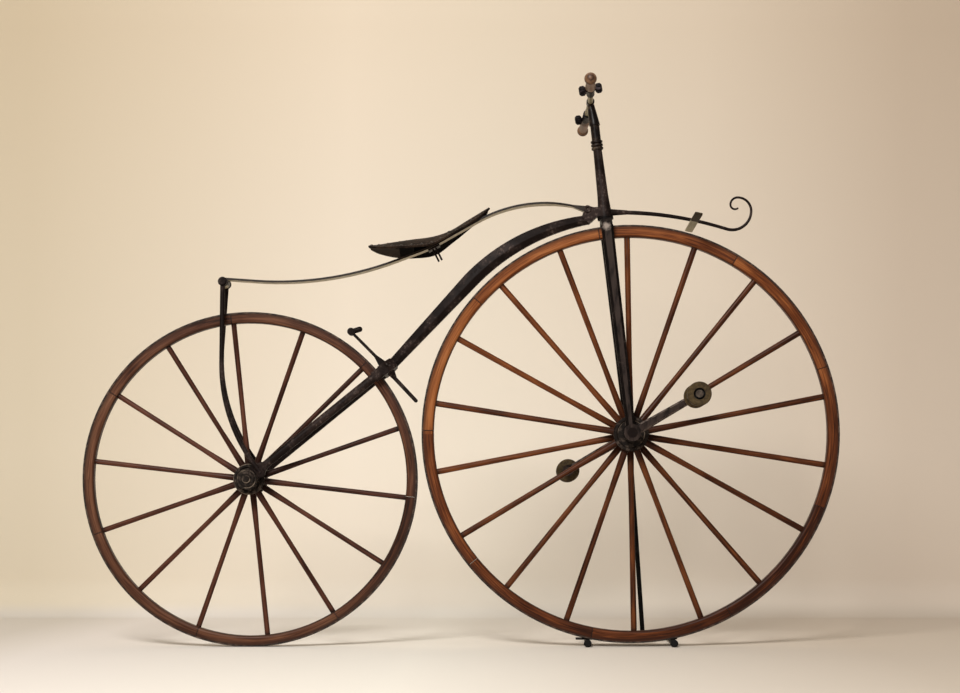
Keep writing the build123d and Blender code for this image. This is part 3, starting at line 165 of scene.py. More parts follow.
def forged_iron(name, dark, mid, worn, sheen=0.50, wear=0.70, shine=0.06, flats=None, edges=None,
                spot=None):
    """Wrought iron, blacked and long handled: dark hollows, a brown film, grey where it is rubbed.

    flats is the colour of faces that look out sideways, rubbed by boots, and edges that of their bevels, a
    painted highlight;
    spot is a painted highlight on one place, as (point, size in millimetres, colour).
    """
    material, tree, shader = finish(name, sheen, shine=shine)
    coords = add(tree, "ShaderNodeTexCoord").outputs
    place = coords["Object"]
    aside = add(tree, "ShaderNodeSeparateXYZ", {"Vector": coords["Normal"]}).outputs["Y"]
    aside = add(tree, "ShaderNodeMath", {0: aside}, operation="ABSOLUTE").outputs[0]
    patches = rub(tree, place, PATCH_MM, 0.44, 0.66)
    scuffs = rub(tree, place, SCUFF_MM, 0.50, wear)
    skin = stained(tree, linear(dark), patches, mid)
    share = add(tree, "ShaderNodeMath", {0: scuffs, 1: patches}, operation="MULTIPLY").outputs[0]
    skin = stained(tree, skin, share, worn)
    if flats:
        flat = add(tree, "ShaderNodeMapRange", {"Value": aside, "From Min": 0.88, "From Max": 0.97})
        drawn = add(tree, "ShaderNodeMapping", {"Vector": place, "Scale": (1.0, 1.0, 0.25)})
        streaks = rub(tree, drawn.outputs["Vector"], STREAK_MM, 0.30, 0.60)
        rubbed = add(tree, "ShaderNodeMath", {0: flat.outputs["Result"], 1: streaks}, operation="MULTIPLY")
        skin = stained(tree, skin, rubbed.outputs[0], flats)
    # Painted highlight: a lighter colour on the bevels, broken in patches
    if edges:
        bevel = add(tree, "ShaderNodeMath", {0: aside, 1: 0.70, 2: 0.16}, operation="COMPARE").outputs[0]
        bright = rub(tree, place, BEVEL_HIGHLIGHT_MM, 0.34, 0.56)
        bevel = add(tree, "ShaderNodeMath", {0: bevel, 1: bright}, operation="MULTIPLY").outputs[0]
        skin = stained(tree, skin, bevel, edges)
    # A painted highlight laid over one place, ragged at its edge
    if spot:
        point, size_mm, colour = spot
        away = add(tree, "ShaderNodeVectorMath", {0: place, 1: point}, operation="DISTANCE").outputs["Value"]
        ragged = add(tree, "ShaderNodeTexNoise", {"Vector": place, "Scale": 1000 / RAGGED_MM, "Detail": 6.0,
                                                  "Roughness": 0.75}).outputs["Fac"]
        away = add(tree, "ShaderNodeMath", {0: ragged, 1: -3 * size_mm * MM, 2: away},
                   operation="MULTIPLY_ADD")
        near = add(tree, "ShaderNodeMapRange", {"Value": away.outputs[0], "From Min": 0.0,
                                                "From Max": -size_mm * MM}).outputs["Result"]
        skin = stained(tree, skin, near, colour)
    tree.links.new(skin, shader.inputs["Base Color"])
    gloss = add(tree, "ShaderNodeMapRange", {"Value": scuffs, "To Min": sheen - 0.08,
                                             "To Max": sheen + 0.14})
    tree.links.new(gloss.outputs["Result"], shader.inputs["Roughness"])
    hammer = add(tree, "ShaderNodeTexNoise", {"Vector": place, "Scale": 1000 / HAMMER_MM, "Detail": 1.0})
    pits = add(tree, "ShaderNodeTexNoise", {"Vector": place, "Scale": 1000 / PIT_MM, "Detail": 4.0})
    soft = add(tree, "ShaderNodeBump", {"Height": hammer.outputs["Fac"], "Strength": 0.5,
                                        "Distance": 1.2 * MM})
    bump = add(tree, "ShaderNodeBump", {"Height": pits.outputs["Fac"], "Strength": 0.35, "Distance": 0.5 * MM,
                                        "Normal": soft.outputs["Normal"]})
    tree.links.new(bump.outputs["Normal"], shader.inputs["Normal"])
    return material


def spring_steel():
    """A tempered leaf, oiled black on top and along its edges; the underside is scoured pale."""
    material, tree, shader = finish("spring_steel", 0.45, shine=0.25)
    coords = add(tree, "ShaderNodeTexCoord").outputs
    up = add(tree, "ShaderNodeSeparateXYZ", {"Vector": coords["Normal"]}).outputs["Z"]
    under = add(tree, "ShaderNodeMapRange", {"Value": up, "From Min": -0.5, "From Max": -0.8})
    mottle = add(tree, "ShaderNodeTexNoise", {"Vector": coords["Object"], "Scale": 1000 / LEAF_MOTTLE_MM,
                                              "Detail": 5.0, "Roughness": 0.65}).outputs["Fac"]
    black = add(tree, "ShaderNodeValToRGB", {"Fac": mottle},
                stops=((0.35, "#150f0b"), (0.60, "#281d15"), (0.75, "#46372a"))).outputs["Color"]
    pale = add(tree, "ShaderNodeValToRGB", {"Fac": mottle},
               stops=((0.30, "#7d7058"), (0.55, "#a3967a"), (0.75, "#b8ab8f"))).outputs["Color"]
    skin = add(tree, "ShaderNodeMix", {"Factor": under.outputs["Result"], "A": black, "B": pale},
               data_type="RGBA")
    tree.links.new(skin.outputs["Result"], shader.inputs["Base Color"])
    bump = add(tree, "ShaderNodeBump", {"Height": mottle, "Strength": 0.2, "Distance": 0.4 * MM})
    tree.links.new(bump.outputs["Normal"], shader.inputs["Normal"])
    return material


def wheel_place(tree, axle):
    """Angle about an axle, distance from it and distance across the machine."""
    place = add(tree, "ShaderNodeTexCoord").outputs["Object"]
    centred = add(tree, "ShaderNodeVectorMath", {0: place, 1: tuple(axle)}, operation="SUBTRACT")
    split = add(tree, "ShaderNodeSeparateXYZ", {"Vector": centred.outputs["Vector"]}).outputs
    turn = add(tree, "ShaderNodeMath", {0: split["Z"], 1: split["X"]}, operation="ARCTAN2").outputs[0]
    flat = add(tree, "ShaderNodeCombineXYZ", {"X": split["X"], "Z": split["Z"]})
    reach = add(tree, "ShaderNodeVectorMath", {0: flat.outputs["Vector"]}, operation="LENGTH")
    return turn, reach.outputs["Value"], split["Y"]


def hub_iron(name, axle, rings):
    """Turned iron, blacked, with painted highlight rings along its turned edges, broken in patches; rings are
    radii in millimetres.
    """
    material, tree, shader = finish(name, 0.45, shine=0.10)
    place = add(tree, "ShaderNodeTexCoord").outputs["Object"]
    _, reach, _ = wheel_place(tree, axle)
    patches = rub(tree, place, HUB_PATCH_MM, 0.42, 0.66)
    skin = add(tree, "ShaderNodeValToRGB", {"Fac": patches},
               stops=((0.0, "#17120f"), (0.6, "#2a221d"), (1.0, "#453b34"))).outputs["Color"]
    # Painted highlight: a lighter ring at each radius, broken in patches
    for radius_mm in rings:
        ring = add(tree, "ShaderNodeMath", {0: reach, 1: radius_mm * MM, 2: RING_WIDTH_MM * MM},
                   operation="COMPARE").outputs[0]
        rubbed = rub(tree, place, RING_HIGHLIGHT_BREAK_MM, 0.42, 0.60)
        bright = add(tree, "ShaderNodeMath", {0: ring, 1: rubbed}, operation="MULTIPLY").outputs[0]
        skin = stained(tree, skin, bright, "#675a4e")
    tree.links.new(skin, shader.inputs["Base Color"])
    marks = add(tree, "ShaderNodeTexNoise", {"Vector": place, "Scale": 1000 / TOOL_MARK_MM, "Detail": 3.0})
    bump = add(tree, "ShaderNodeBump", {"Height": marks.outputs["Fac"], "Strength": 0.3,
                                        "Distance": 0.5 * MM})
    tree.links.new(bump.outputs["Normal"], shader.inputs["Normal"])
    return material


def sticks(tree, turn, count, phase):
    """A whole number for each of count equal sectors, one of them centred on phase degrees, and the
    distance from the sector's middle line as a share of its width."""
    pitch = 2 * pi / count
    share = add(tree, "ShaderNodeMath", {0: turn, 1: radians(phase)}, operation="SUBTRACT").outputs[0]
    share = add(tree, "ShaderNodeMath", {0: share, 1: pitch}, operation="DIVIDE").outputs[0]
    stick = add(tree, "ShaderNodeMath", {0: share}, operation="ROUND").outputs[0]
    off = add(tree, "ShaderNodeMath", {0: share, 1: stick}, operation="SUBTRACT").outputs[0]
    return stick, add(tree, "ShaderNodeMath", {0: off}, operation="ABSOLUTE").outputs[0]


# How far the grain of each stick is shifted from that of the next one
STICK_SHIFT = 3.7


def oiled_ash(name, axle, radius, around, count, phase, stops, dirt_and_shade, zones, painted_light):
    """Ash under old varnish. Grain follows the rim or the spoke, and each stick of wood has its own tone.

    painted_light is the side of the wheel that is painted paler, a painted light falling from that side, in
    degrees, with how much paler it is.
    """
    material, tree, shader = finish(name, 0.42, shine=0.12)
    turn, reach, depth = wheel_place(tree, axle)
    stick, off = sticks(tree, turn, count, phase)
    arc = add(tree, "ShaderNodeMath", {0: turn, 1: radius}, operation="MULTIPLY").outputs[0]
    shift = add(tree, "ShaderNodeMath", {0: stick, 1: STICK_SHIFT}, operation="MULTIPLY").outputs[0]
    along, across = (arc, reach) if around else (reach, arc)
    grain_at = add(tree, "ShaderNodeCombineXYZ", {"X": along, "Y": across, "Z": depth}).outputs["Vector"]
    grain_at = add(tree, "ShaderNodeVectorMath", {0: grain_at, 1: [1000 / size for size in WOOD_GRAIN_MM]},
                   operation="MULTIPLY").outputs["Vector"]
    apart = add(tree, "ShaderNodeCombineXYZ", {"X": shift, "Y": shift, "Z": shift}).outputs["Vector"]
    grain_at = add(tree, "ShaderNodeVectorMath", {0: grain_at, 1: apart}, operation="ADD").outputs["Vector"]
    grain = add(tree, "ShaderNodeTexNoise", {"Vector": grain_at, "Scale": 1.0, "Detail": 5.0,
                                             "Roughness": 0.62, "Distortion": 0.6}).outputs["Fac"]
    place = add(tree, "ShaderNodeTexCoord").outputs["Object"]
    cloud = add(tree, "ShaderNodeTexNoise", {"Vector": place, "Scale": 1000 / WOOD_CLOUD_MM,
                                             "Detail": 2.0}).outputs["Fac"]
    own = add(tree, "ShaderNodeTexWhiteNoise", {"W": stick}, noise_dimensions="1D").outputs["Value"]
    tone = add(tree, "ShaderNodeMath", {0: grain, 1: GRAIN_SHARE}, operation="MULTIPLY").outputs[0]
    for value, weight in ((cloud, CLOUD_SHARE), (own, STICK_SHARE)):
        tone = add(tree, "ShaderNodeMath", {0: value, 1: weight, 2: tone},
                   operation="MULTIPLY_ADD").outputs[0]
    # Painted light: the wood is paler towards the side of the wheel that the light falls on
    light_from, swing = painted_light
    lit = add(tree, "ShaderNodeMath", {0: turn, 1: radians(light_from)}, operation="SUBTRACT").outputs[0]
    lit = add(tree, "ShaderNodeMath", {0: lit}, operation="COSINE").outputs[0]
    tone = add(tree, "ShaderNodeMath", {0: lit, 1: swing, 2: tone}, operation="MULTIPLY_ADD").outputs[0]
    wood = add(tree, "ShaderNodeValToRGB", {"Fac": tone}, stops=stops).outputs["Color"]
    # Soiling next to tyre and hub, and painted shade along the rim's inner edge and the spoke ends beside it
    grime_and_shade = 0.0
    for clean, foul in zones:
        zone = add(tree, "ShaderNodeMapRange", {"Value": reach, "From Min": clean, "From Max": foul},
                   interpolation_type="SMOOTHSTEP").outputs["Result"]
        grime_and_shade = add(tree, "ShaderNodeMath", {0: grime_and_shade, 1: zone}, operation="MAXIMUM").outputs[0]
    uneven = add(tree, "ShaderNodeMapRange", {"Value": cloud, "From Min": 0.3, "From Max": 0.7,
                                              "To Min": 0.35, "To Max": 1.0}).outputs["Result"]
    grime_and_shade = add(tree, "ShaderNodeMath", {0: grime_and_shade, 1: uneven}, operation="MULTIPLY").outputs[0]
    skin = stained(tree, wood, grime_and_shade, dirt_and_shade)
    if around:
        share = JOINT_LINE_MM * MM / (2 * pi * radius / count)
        line = add(tree, "ShaderNodeMapRange", {"Value": off, "From Min": 0.5 - share,
                                                "From Max": 0.5 - share / 2})
        skin = stained(tree, skin, line.outputs["Result"], dirt_and_shade)
    tree.links.new(skin, shader.inputs["Base Color"])
    gloss = add(tree, "ShaderNodeMapRange", {"Value": cloud, "From Min": 0.3, "From Max": 0.7,
                                             "To Min": 0.34, "To Max": 0.52})
    tree.links.new(gloss.outputs["Result"], shader.inputs["Roughness"])
    bump = add(tree, "ShaderNodeBump", {"Height": grain, "Strength": 0.2, "Distance": 0.4 * MM})
    tree.links.new(bump.outputs["Normal"], shader.inputs["Normal"])
    return material


def rusted_band():
    """Hoop iron, rolled and rusted: a mottled brown with fine pits."""
    material, tree, shader = finish("hoop_iron", 0.65, metallic=0.1, shine=0.15)
    place = add(tree, "ShaderNodeTexCoord").outputs["Object"]
    rust = rub(tree, place, RUST_MM, 0.40, 0.62)
    colour = add(tree, "ShaderNodeValToRGB", {"Fac": rust},
                 stops=((0.0, "#2a2320"), (0.55, "#3b3029"), (1.0, "#54443a"))).outputs["Color"]
    tree.links.new(colour, shader.inputs["Base Color"])
    pits = add(tree, "ShaderNodeTexNoise", {"Vector": place, "Scale": 1000 / RUST_PIT_MM, "Detail": 4.0})
    bump = add(tree, "ShaderNodeBump", {"Height": pits.outputs["Fac"], "Strength": 0.3, "Distance": 0.4 * MM})
    tree.links.new(bump.outputs["Normal"], shader.inputs["Normal"])
    return material


def mottled(name, stops, roughness, metallic, speck_mm=6):
    """A dull surface of soft mottled colour, such as old brass, steel or waxed thread."""
    material, tree, shader = finish(name, roughness, metallic=metallic)
    place = add(tree, "ShaderNodeTexCoord").outputs["Object"]
    mottle = add(tree, "ShaderNodeTexNoise", {"Vector": place, "Scale": 1000 / speck_mm, "Detail": 5.0,
                                              "Roughness": 0.65}).outputs["Fac"]
    skin = add(tree, "ShaderNodeValToRGB", {"Fac": mottle}, stops=stops).outputs["Color"]
    tree.links.new(skin, shader.inputs["Base Color"])
    gloss = add(tree, "ShaderNodeMapRange", {"Value": mottle, "From Min": 0.3, "From Max": 0.7,
                                             "To Min": roughness - 0.08, "To Max": roughness + 0.10})
    tree.links.new(gloss.outputs["Result"], shader.inputs["Roughness"])
    return material


def greased(name, pin, stops, clean_mm, foul_mm):
    """Cast bronze or steel gone brown: a soft mottle, with black grease past a radius from the pin's line.

    The grease thickens from the clean radius to the foul one, inwards or outwards.
    """
    material, tree, shader = finish(name, 0.5, metallic=0.2, shine=0.2)
    place = add(tree, "ShaderNodeTexCoord").outputs["Object"]
    _, reach, _ = wheel_place(tree, pin)
    mottle = add(tree, "ShaderNodeTexNoise", {"Vector": place, "Scale": 1000 / BRONZE_MOTTLE_MM,
                                              "Detail": 5.0, "Roughness": 0.65}).outputs["Fac"]
    skin = add(tree, "ShaderNodeValToRGB", {"Fac": mottle}, stops=stops).outputs["Color"]
    grease = add(tree, "ShaderNodeMapRange", {"Value": reach, "From Min": clean_mm * MM,
                                              "From Max": foul_mm * MM})
    tree.links.new(stained(tree, skin, grease.outputs["Result"], "#0b0908"), shader.inputs["Base Color"])
    bump = add(tree, "ShaderNodeBump", {"Height": mottle, "Strength": 0.2, "Distance": 0.4 * MM})
    tree.links.new(bump.outputs["Normal"], shader.inputs["Normal"])
    return material


BALL_RADIUS = 14 * MM
# Radians through which a wave texture turns in one unit of scaled length
WAVE_TURN = 20


def turned_wood():
    """Boxwood handles: grain along the handle, and growth rings that show on the ball's end."""
    material, tree, shader = finish("turned_boxwood", 0.45, shine=0.3)
    place = add(tree, "ShaderNodeTexCoord").outputs["Object"]
    low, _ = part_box("grip_right")
    ball = (low[0] + BALL_RADIUS, 0.0, low[2] + BALL_RADIUS)
    middle = add(tree, "ShaderNodeMapping", {"Vector": place, "Location": [-v for v in ball]})
    split = add(tree, "ShaderNodeSeparateXYZ", {"Vector": middle.outputs["Vector"]}).outputs
    flat = add(tree, "ShaderNodeCombineXYZ", {"X": split["X"], "Z": split["Z"]}).outputs["Vector"]
    turns = 2 * pi * 1000 / GROWTH_RING_MM / WAVE_TURN
    rings = add(tree, "ShaderNodeTexWave", {"Vector": flat, "Scale": turns, "Distortion": 1.5, "Detail": 2.0,
                                            "Phase Offset": pi},
                wave_type="RINGS", rings_direction="Y").outputs["Fac"]
    stretch = [1000 / size for size in HANDLE_GRAIN_MM]
    drawn = add(tree, "ShaderNodeMapping", {"Vector": place, "Scale": stretch})
    grain = add(tree, "ShaderNodeTexNoise", {"Vector": drawn.outputs["Vector"], "Scale": 1.0, "Detail": 5.0,
                                             "Distortion": 0.8}).outputs["Fac"]
    tone = add(tree, "ShaderNodeMath", {0: rings, 1: 0.40, 2: grain}, operation="MULTIPLY_ADD").outputs[0]
    colour = add(tree, "ShaderNodeValToRGB", {"Fac": tone},
                 stops=((0.35, "#2a1a12"), (0.62, "#4f3626"), (1.0, "#7a5940"))).outputs["Color"]
    tree.links.new(colour, shader.inputs["Base Color"])
    bump = add(tree, "ShaderNodeBump", {"Height": grain, "Strength": 0.2, "Distance": 0.3 * MM})
    tree.links.new(bump.outputs["Normal"], shader.inputs["Normal"])
    return material


def saddle_hide():
    """Tanned hide, black with age: fine pebbled grain, brown in patches, with a painted highlight of lighter
    brown on the faces that look straight up.
    """
    material, tree, shader = finish("old_hide", 0.6, shine=0.05)
    coords = add(tree, "ShaderNodeTexCoord").outputs
    place = coords["Object"]
    patches = rub(tree, place, HIDE_PATCH_MM, 0.36, 0.60)
    cracks = add(tree, "ShaderNodeTexVoronoi", {"Vector": place, "Scale": 1000 / HIDE_CRACK_MM},
                 feature="DISTANCE_TO_EDGE").outputs["Distance"]
    whole = add(tree, "ShaderNodeMapRange", {"Value": cracks, "From Max": 0.06}).outputs["Result"]
    colour = add(tree, "ShaderNodeValToRGB", {"Fac": patches},
                 stops=((0.0, "#160f0b"), (0.6, "#241a15"), (1.0, "#33271f"))).outputs["Color"]
    # Painted highlight: faces that look straight up are lighter, as if lit from above
    up = add(tree, "ShaderNodeSeparateXYZ", {"Vector": coords["Normal"]}).outputs["Z"]
    lit_top = add(tree, "ShaderNodeMapRange", {"Value": up, "From Min": 0.965, "From Max": 0.995},
                 interpolation_type="SMOOTHSTEP").outputs["Result"]
    colour = stained(tree, colour, lit_top, "#66554a")
    skin = add(tree, "ShaderNodeMix", {"Factor": whole, "A": linear("#120c0a"), "B": colour},
               data_type="RGBA")
    tree.links.new(skin.outputs["Result"], shader.inputs["Base Color"])
    pebble = add(tree, "ShaderNodeTexVoronoi", {"Vector": place, "Scale": 1000 / HIDE_PEBBLE_MM})
    fine = add(tree, "ShaderNodeBump", {"Height": pebble.outputs["Distance"], "Strength": 0.35,
                                        "Distance": 0.4 * MM})
    bump = add(tree, "ShaderNodeBump", {"Height": whole, "Strength": 0.3, "Distance": 0.4 * MM,
                                        "Normal": fine.outputs["Normal"]})
    tree.links.new(bump.outputs["Normal"], shader.inputs["Normal"])
    return material


def flesh_side():
    """The hide's underside: rough brown nap, darker in blotches."""
    material, tree, shader = finish("hide_flesh_side", 0.8, shine=0.2)
    place = add(tree, "ShaderNodeTexCoord").outputs["Object"]
    nap = add(tree, "ShaderNodeTexNoise", {"Vector": place, "Scale": 1000 / NAP_MM, "Detail": 6.0,
                                           "Roughness": 0.7}).outputs["Fac"]
    skin = add(tree, "ShaderNodeValToRGB", {"Fac": nap},
               stops=((0.3, "#1c140f"), (0.55, "#33271e"), (0.8, "#45382d"))).outputs["Color"]
    tree.links.new(skin, shader.inputs["Base Color"])
    bump = add(tree, "ShaderNodeBump", {"Height": nap, "Strength": 0.5, "Distance": 0.6 * MM})
    tree.links.new(bump.outputs["Normal"], shader.inputs["Normal"])
    return material


def strip_plate():
    """A plated strip: dark on the right, pale and dull on the left."""
    material, tree, shader = finish("strip_plate", 0.6, shine=0.1)
    place = add(tree, "ShaderNodeTexCoord").outputs["Object"]
    split = add(tree, "ShaderNodeSeparateXYZ", {"Vector": place}).outputs
    dark_to, pale_from = (y * MM for y in STRIP_DARK_TO_PALE_MM)
    side = add(tree, "ShaderNodeMapRange", {"Value": split["Y"], "From Min": dark_to, "From Max": pale_from},
               interpolation_type="SMOOTHSTEP").outputs["Result"]
    mottle = add(tree, "ShaderNodeTexNoise", {"Vector": place, "Scale": 1000 / STRIP_MOTTLE_MM,
                                              "Detail": 4.0}).outputs["Fac"]
    dark = add(tree, "ShaderNodeValToRGB", {"Fac": mottle},
               stops=((0.3, "#241b12"), (0.7, "#3d301e"))).outputs["Color"]
    pale = add(tree, "ShaderNodeValToRGB", {"Fac": mottle},
               stops=((0.3, "#8f866c"), (0.7, "#b4ab93"))).outputs["Color"]
    skin = add(tree, "ShaderNodeMix", {"Factor": side, "A": dark, "B": pale}, data_type="RGBA")
    tree.links.new(skin.outputs["Result"], shader.inputs["Base Color"])
    return material


def cap_rubber():
    """Moulded rubber, black and dry, with fine grey specks."""
    material, tree, shader = finish("cap_rubber", 0.75, ior=1.52, shine=0.15)
    place = add(tree, "ShaderNodeTexCoord").outputs["Object"]
    specks = add(tree, "ShaderNodeTexNoise", {"Vector": place, "Scale": 1000 / RUBBER_SPECK_MM,
                                              "Detail": 3.0})
    skin = add(tree, "ShaderNodeValToRGB", {"Fac": specks.outputs["Fac"]},
               stops=((0.35, "#080707"), (0.7, "#171514"))).outputs["Color"]
    tree.links.new(skin, shader.inputs["Base Color"])
    return material


def assign(material, *names):
    for name in names:
        slots = NODES[name].data.materials
        slots.clear()
        slots.append(material)


FRONT_WOOD = ((0.36, "#2c140a"), (0.50, "#603117"), (0.62, "#8a5029"), (0.80, "#a66c3e"))
REAR_WOOD = ((0.36, "#26150e"), (0.48, "#4c2d1f"), (0.60, "#684430"), (0.78, "#856046"))
FRONT_STICK = ((0.34, "#1a0a05"), (0.46, "#41200f"), (0.60, "#673719"), (0.78, "#8c5029"))
REAR_STICK = ((0.34, "#180b07"), (0.46, "#3a1e14"), (0.60, "#543022"), (0.78, "#6e4532"))
FRONT_PHASE = 91
REAR_PHASE = 96.2
FRONT_SPOKES = 18
REAR_SPOKES = 14
FRONT_TYRE_RADIUS = 0.5
REAR_TYRE_RADIUS = 0.4
# Where grain is measured: about half way through a rim, about half way along a spoke
FRONT_RIM_MIDDLE = 0.48
REAR_RIM_MIDDLE = 0.385
FRONT_SPOKE_MIDDLE = 0.25
REAR_SPOKE_MIDDLE = 0.20
# Rims and spokes darken from the first radius to the second: soiled next to the tyres and round the hubs, and
# painted shade along the rims' inner edges and at the spokes' ends next to them
FRONT_RIM_DIRT_AND_SHADE = ((0.484, 0.497), (0.476, 0.471))
REAR_RIM_DIRT_AND_SHADE = ((0.385, 0.397), (0.379, 0.374))
FRONT_SPOKE_DIRT_AND_SHADE = ((0.10, 0.03), (0.460, 0.472))
REAR_SPOKE_DIRT_AND_SHADE = ((0.09, 0.03), (0.362, 0.374))
# The side of each wheel painted paler, a painted light, in degrees, with how much paler it is
FRONT_RIM_PAINTED_LIGHT = (125, 0.095)
REAR_RIM_PAINTED_LIGHT = (185, 0.065)
FRONT_SPOKE_PAINTED_LIGHT = (125, 0.04)
REAR_SPOKE_PAINTED_LIGHT = (190, 0.03)


def dress_wheels():
    half = 180 / FRONT_SPOKES
    rim = oiled_ash("front_rim_ash", FRONT_AXLE, FRONT_RIM_MIDDLE, True, FRONT_SPOKES // 2,
                    half - FRONT_PHASE, FRONT_WOOD, "#2b1913", FRONT_RIM_DIRT_AND_SHADE, FRONT_RIM_PAINTED_LIGHT)
    assign(rim, "front_felloes")
    half = 180 / REAR_SPOKES
    rim = oiled_ash("rear_rim_ash", REAR_AXLE, REAR_RIM_MIDDLE, True, REAR_SPOKES // 2, half - REAR_PHASE,
                    REAR_WOOD, "#241813", REAR_RIM_DIRT_AND_SHADE, REAR_RIM_PAINTED_LIGHT)
    assign(rim, "rear_felloes")
    spoke = oiled_ash("front_spoke_ash", FRONT_AXLE, FRONT_SPOKE_MIDDLE, False, FRONT_SPOKES, FRONT_PHASE,
                      FRONT_STICK, "#1d0f0a", FRONT_SPOKE_DIRT_AND_SHADE, FRONT_SPOKE_PAINTED_LIGHT)
    assign(spoke, "front_spokes")
    spoke = oiled_ash("rear_spoke_ash", REAR_AXLE, REAR_SPOKE_MIDDLE, False, REAR_SPOKES, REAR_PHASE,
                      REAR_STICK, "#1a0e0a", REAR_SPOKE_DIRT_AND_SHADE, REAR_SPOKE_PAINTED_LIGHT)
    assign(spoke, "rear_spokes")
    assign(rusted_band(), "front_tyre", "rear_tyre")


# A painted highlight on the crown's right cheek: a point, its size in millimetres and its colour
CROWN_HIGHLIGHT = ((0.3460, -0.040, 1.0010), 8, "#8d8178")
# Radii in millimetres of the painted highlight rings on each hub
FRONT_HUB_HIGHLIGHT_RINGS = (32.0,)
REAR_HUB_HIGHLIGHT_RINGS = (9.0, 21.0, 35.8)


def dress_iron():
    black = forged_iron("blacked_iron", "#17100e", "#2d2320", "#564943")
    assign(black, "backbone", "brake_lever", "leg_rest_scroll", "spring_bolt", "saddle_clip",
           "spring_tail_bolt", "front_axle", "rear_axle", *both("rear_fork_leg"), *both("rear_stay"))
    # The cranks' bevels carry a painted highlight
    cranks = forged_iron("crank_iron", "#100c0b", "#1d1715", "#463c37", flats="#382e2a", edges="#5f534c")
    assign(cranks, *both("crank"))
    # Fork legs and crown carry a painted highlight on the crown's right cheek
    legs = forged_iron("boot_rubbed_iron", "#0f0b0a", "#1b1513", "#3f3632", flats="#352c28", spot=CROWN_HIGHLIGHT)
    assign(legs, *both("fork_leg"))
    crown = forged_iron("crown_iron", "#0f0b0a", "#1c1613", "#4a403a", spot=CROWN_HIGHLIGHT)
    assign(crown, "fork_crown")
    blued = forged_iron("blued_iron", "#0e0a0b", "#191415", "#4b4245", wear=0.66, shine=0.05)
    assign(blued, *both("bar_clamp"))
    assign(hub_iron("front_hub_iron", FRONT_AXLE, FRONT_HUB_HIGHLIGHT_RINGS), "front_hub")
    assign(hub_iron("rear_hub_iron", REAR_AXLE, REAR_HUB_HIGHLIGHT_RINGS), "rear_hub", *both("rear_axle_cap"))
    browned = forged_iron("browned_iron", "#130d0b", "#2a1f1a", "#5c4d3d", sheen=0.40, shine=0.14)
    assign(browned, "stem")
    assign(spring_steel(), "spring")
    stand = forged_iron("stand_black", "#0d0b0b", "#161313", "#2b2828")
    assign(stand, "stand_rods", "stand_foot_plate", "stand_bridge", "stand_post")
    assign(cap_rubber(), "stand_caps")


def dress_fittings():
    bar = mottled("dull_bar_brass", ((0.3, "#5f563c"), (0.55, "#857b5c"), (0.8, "#a09674")), 0.42, 0.35)
    assign(bar, "handlebar")
    bronze = ((0.3, "#2b2013"), (0.55, "#473922"), (0.8, "#5f4f35"))
    steel = ((0.3, "#2a2420"), (0.55, "#453b33"), (0.8, "#655a50"))
    for side, _ in SIDES:
        middle = JOINTS[f"pedal_{side}_spin"]["pos_m"]
        assign(greased(f"pedal_{side}_bronze", middle, bronze, *PEDAL_GREASE_MM), f"pedal_{side}")
        assign(greased(f"pin_{side}_steel", middle, steel, *PIN_GREASE_MM), f"pedal_pin_{side}")
    assign(turned_wood(), *both("grip"))
    assign(strip_plate(), "leg_rest_strip")


# Saddle: a hide stretched over an iron plate, on a block that sits on the spring; sizes in millimetres

# Places along the machine, with the height of crest and edge and the half width there
SADDLE_ROWS = (
    (-223.0, 960.0, 959.0, 7.0), (-219.5, 960.4, 956.4, 22.0), (-199.5, 961.3, 950.3, 50.0),
    (-163.5, 966.4, 946.4, 80.0), (-115.5, 973.4, 946.4, 92.0), (-65.5, 980.8, 953.3, 85.0),
    (-25.5, 995.2, 978.2, 60.0), (14.5, 1020.3, 1005.3, 36.0), (62.5, 1049.9, 1042.4, 15.0),
    (66.5, 1052.4, 1050.6, 5.0),
)
HIDE_THICK = 4.5
PLATE_THICK = 2.0
PLATE_SPAN = (-152.0, 30.0)
# Places along the block with the height of its foot
BLOCK_ROWS = (
    (-113.0, 941.9), (-100.0, 946.8), (-85.0, 952.7), (-65.0, 962.1), (-45.0, 973.1), (-28.0, 982.7),
)
BLOCK_HALF = 14.0
BLOCK_WORN = 2.0
LEAST_RISE = 0.3
# Shares of the half width
PLATE_REACH = 0.97
SHARE_STEP = 0.02
# Numbers of faces
ARCH_STEPS = 28
HIDE_STEPS = 72
PLATE_STEPS = 40
# Tacks and stitches, their spans along the machine and their distance from the hide's edge
TACKS_ALONG_CREST = (-215.0, -198.0, -176.0, -148.0, -132.0, -30.0)
CREST_TACK = (4.4, 4.4, 2.8)
EDGE_TACK = (3.2, 3.2, 1.8)
EDGE_TACK_SPAN = (-214, 52)
EDGE_TACK_PITCH = 24.0
EDGE_TACK_INSET = 7
STITCH = (2.4, 0.6, 0.5)
STITCH_SPAN = (-212, 56)
STITCH_PITCH = 7.0
STITCH_INSET = 3.2


def through(rows, x):
    """The row at a place along the saddle, on a smooth line through the given rows."""
    last = len(rows) - 2
    i = max(j for j in range(last + 1) if j == 0 or rows[j][0] <= x)
    before, here, there, after = rows[max(i - 1, 0)], rows[i], rows[i + 1], rows[min(i + 2, last + 1)]
    run = there[0] - here[0]
    t = (x - here[0]) / run
    result = []
    for k in range(1, len(here)):
        slope_here = (there[k] - before[k]) / (there[0] - before[0]) * run
        slope_there = (after[k] - here[k]) / (after[0] - here[0]) * run
        rise = there[k] - here[k]
        bend = slope_here + slope_there - 2 * rise
        result.append(here[k] + t * (slope_here + t * (rise - slope_here - bend + t * bend)))
    return result


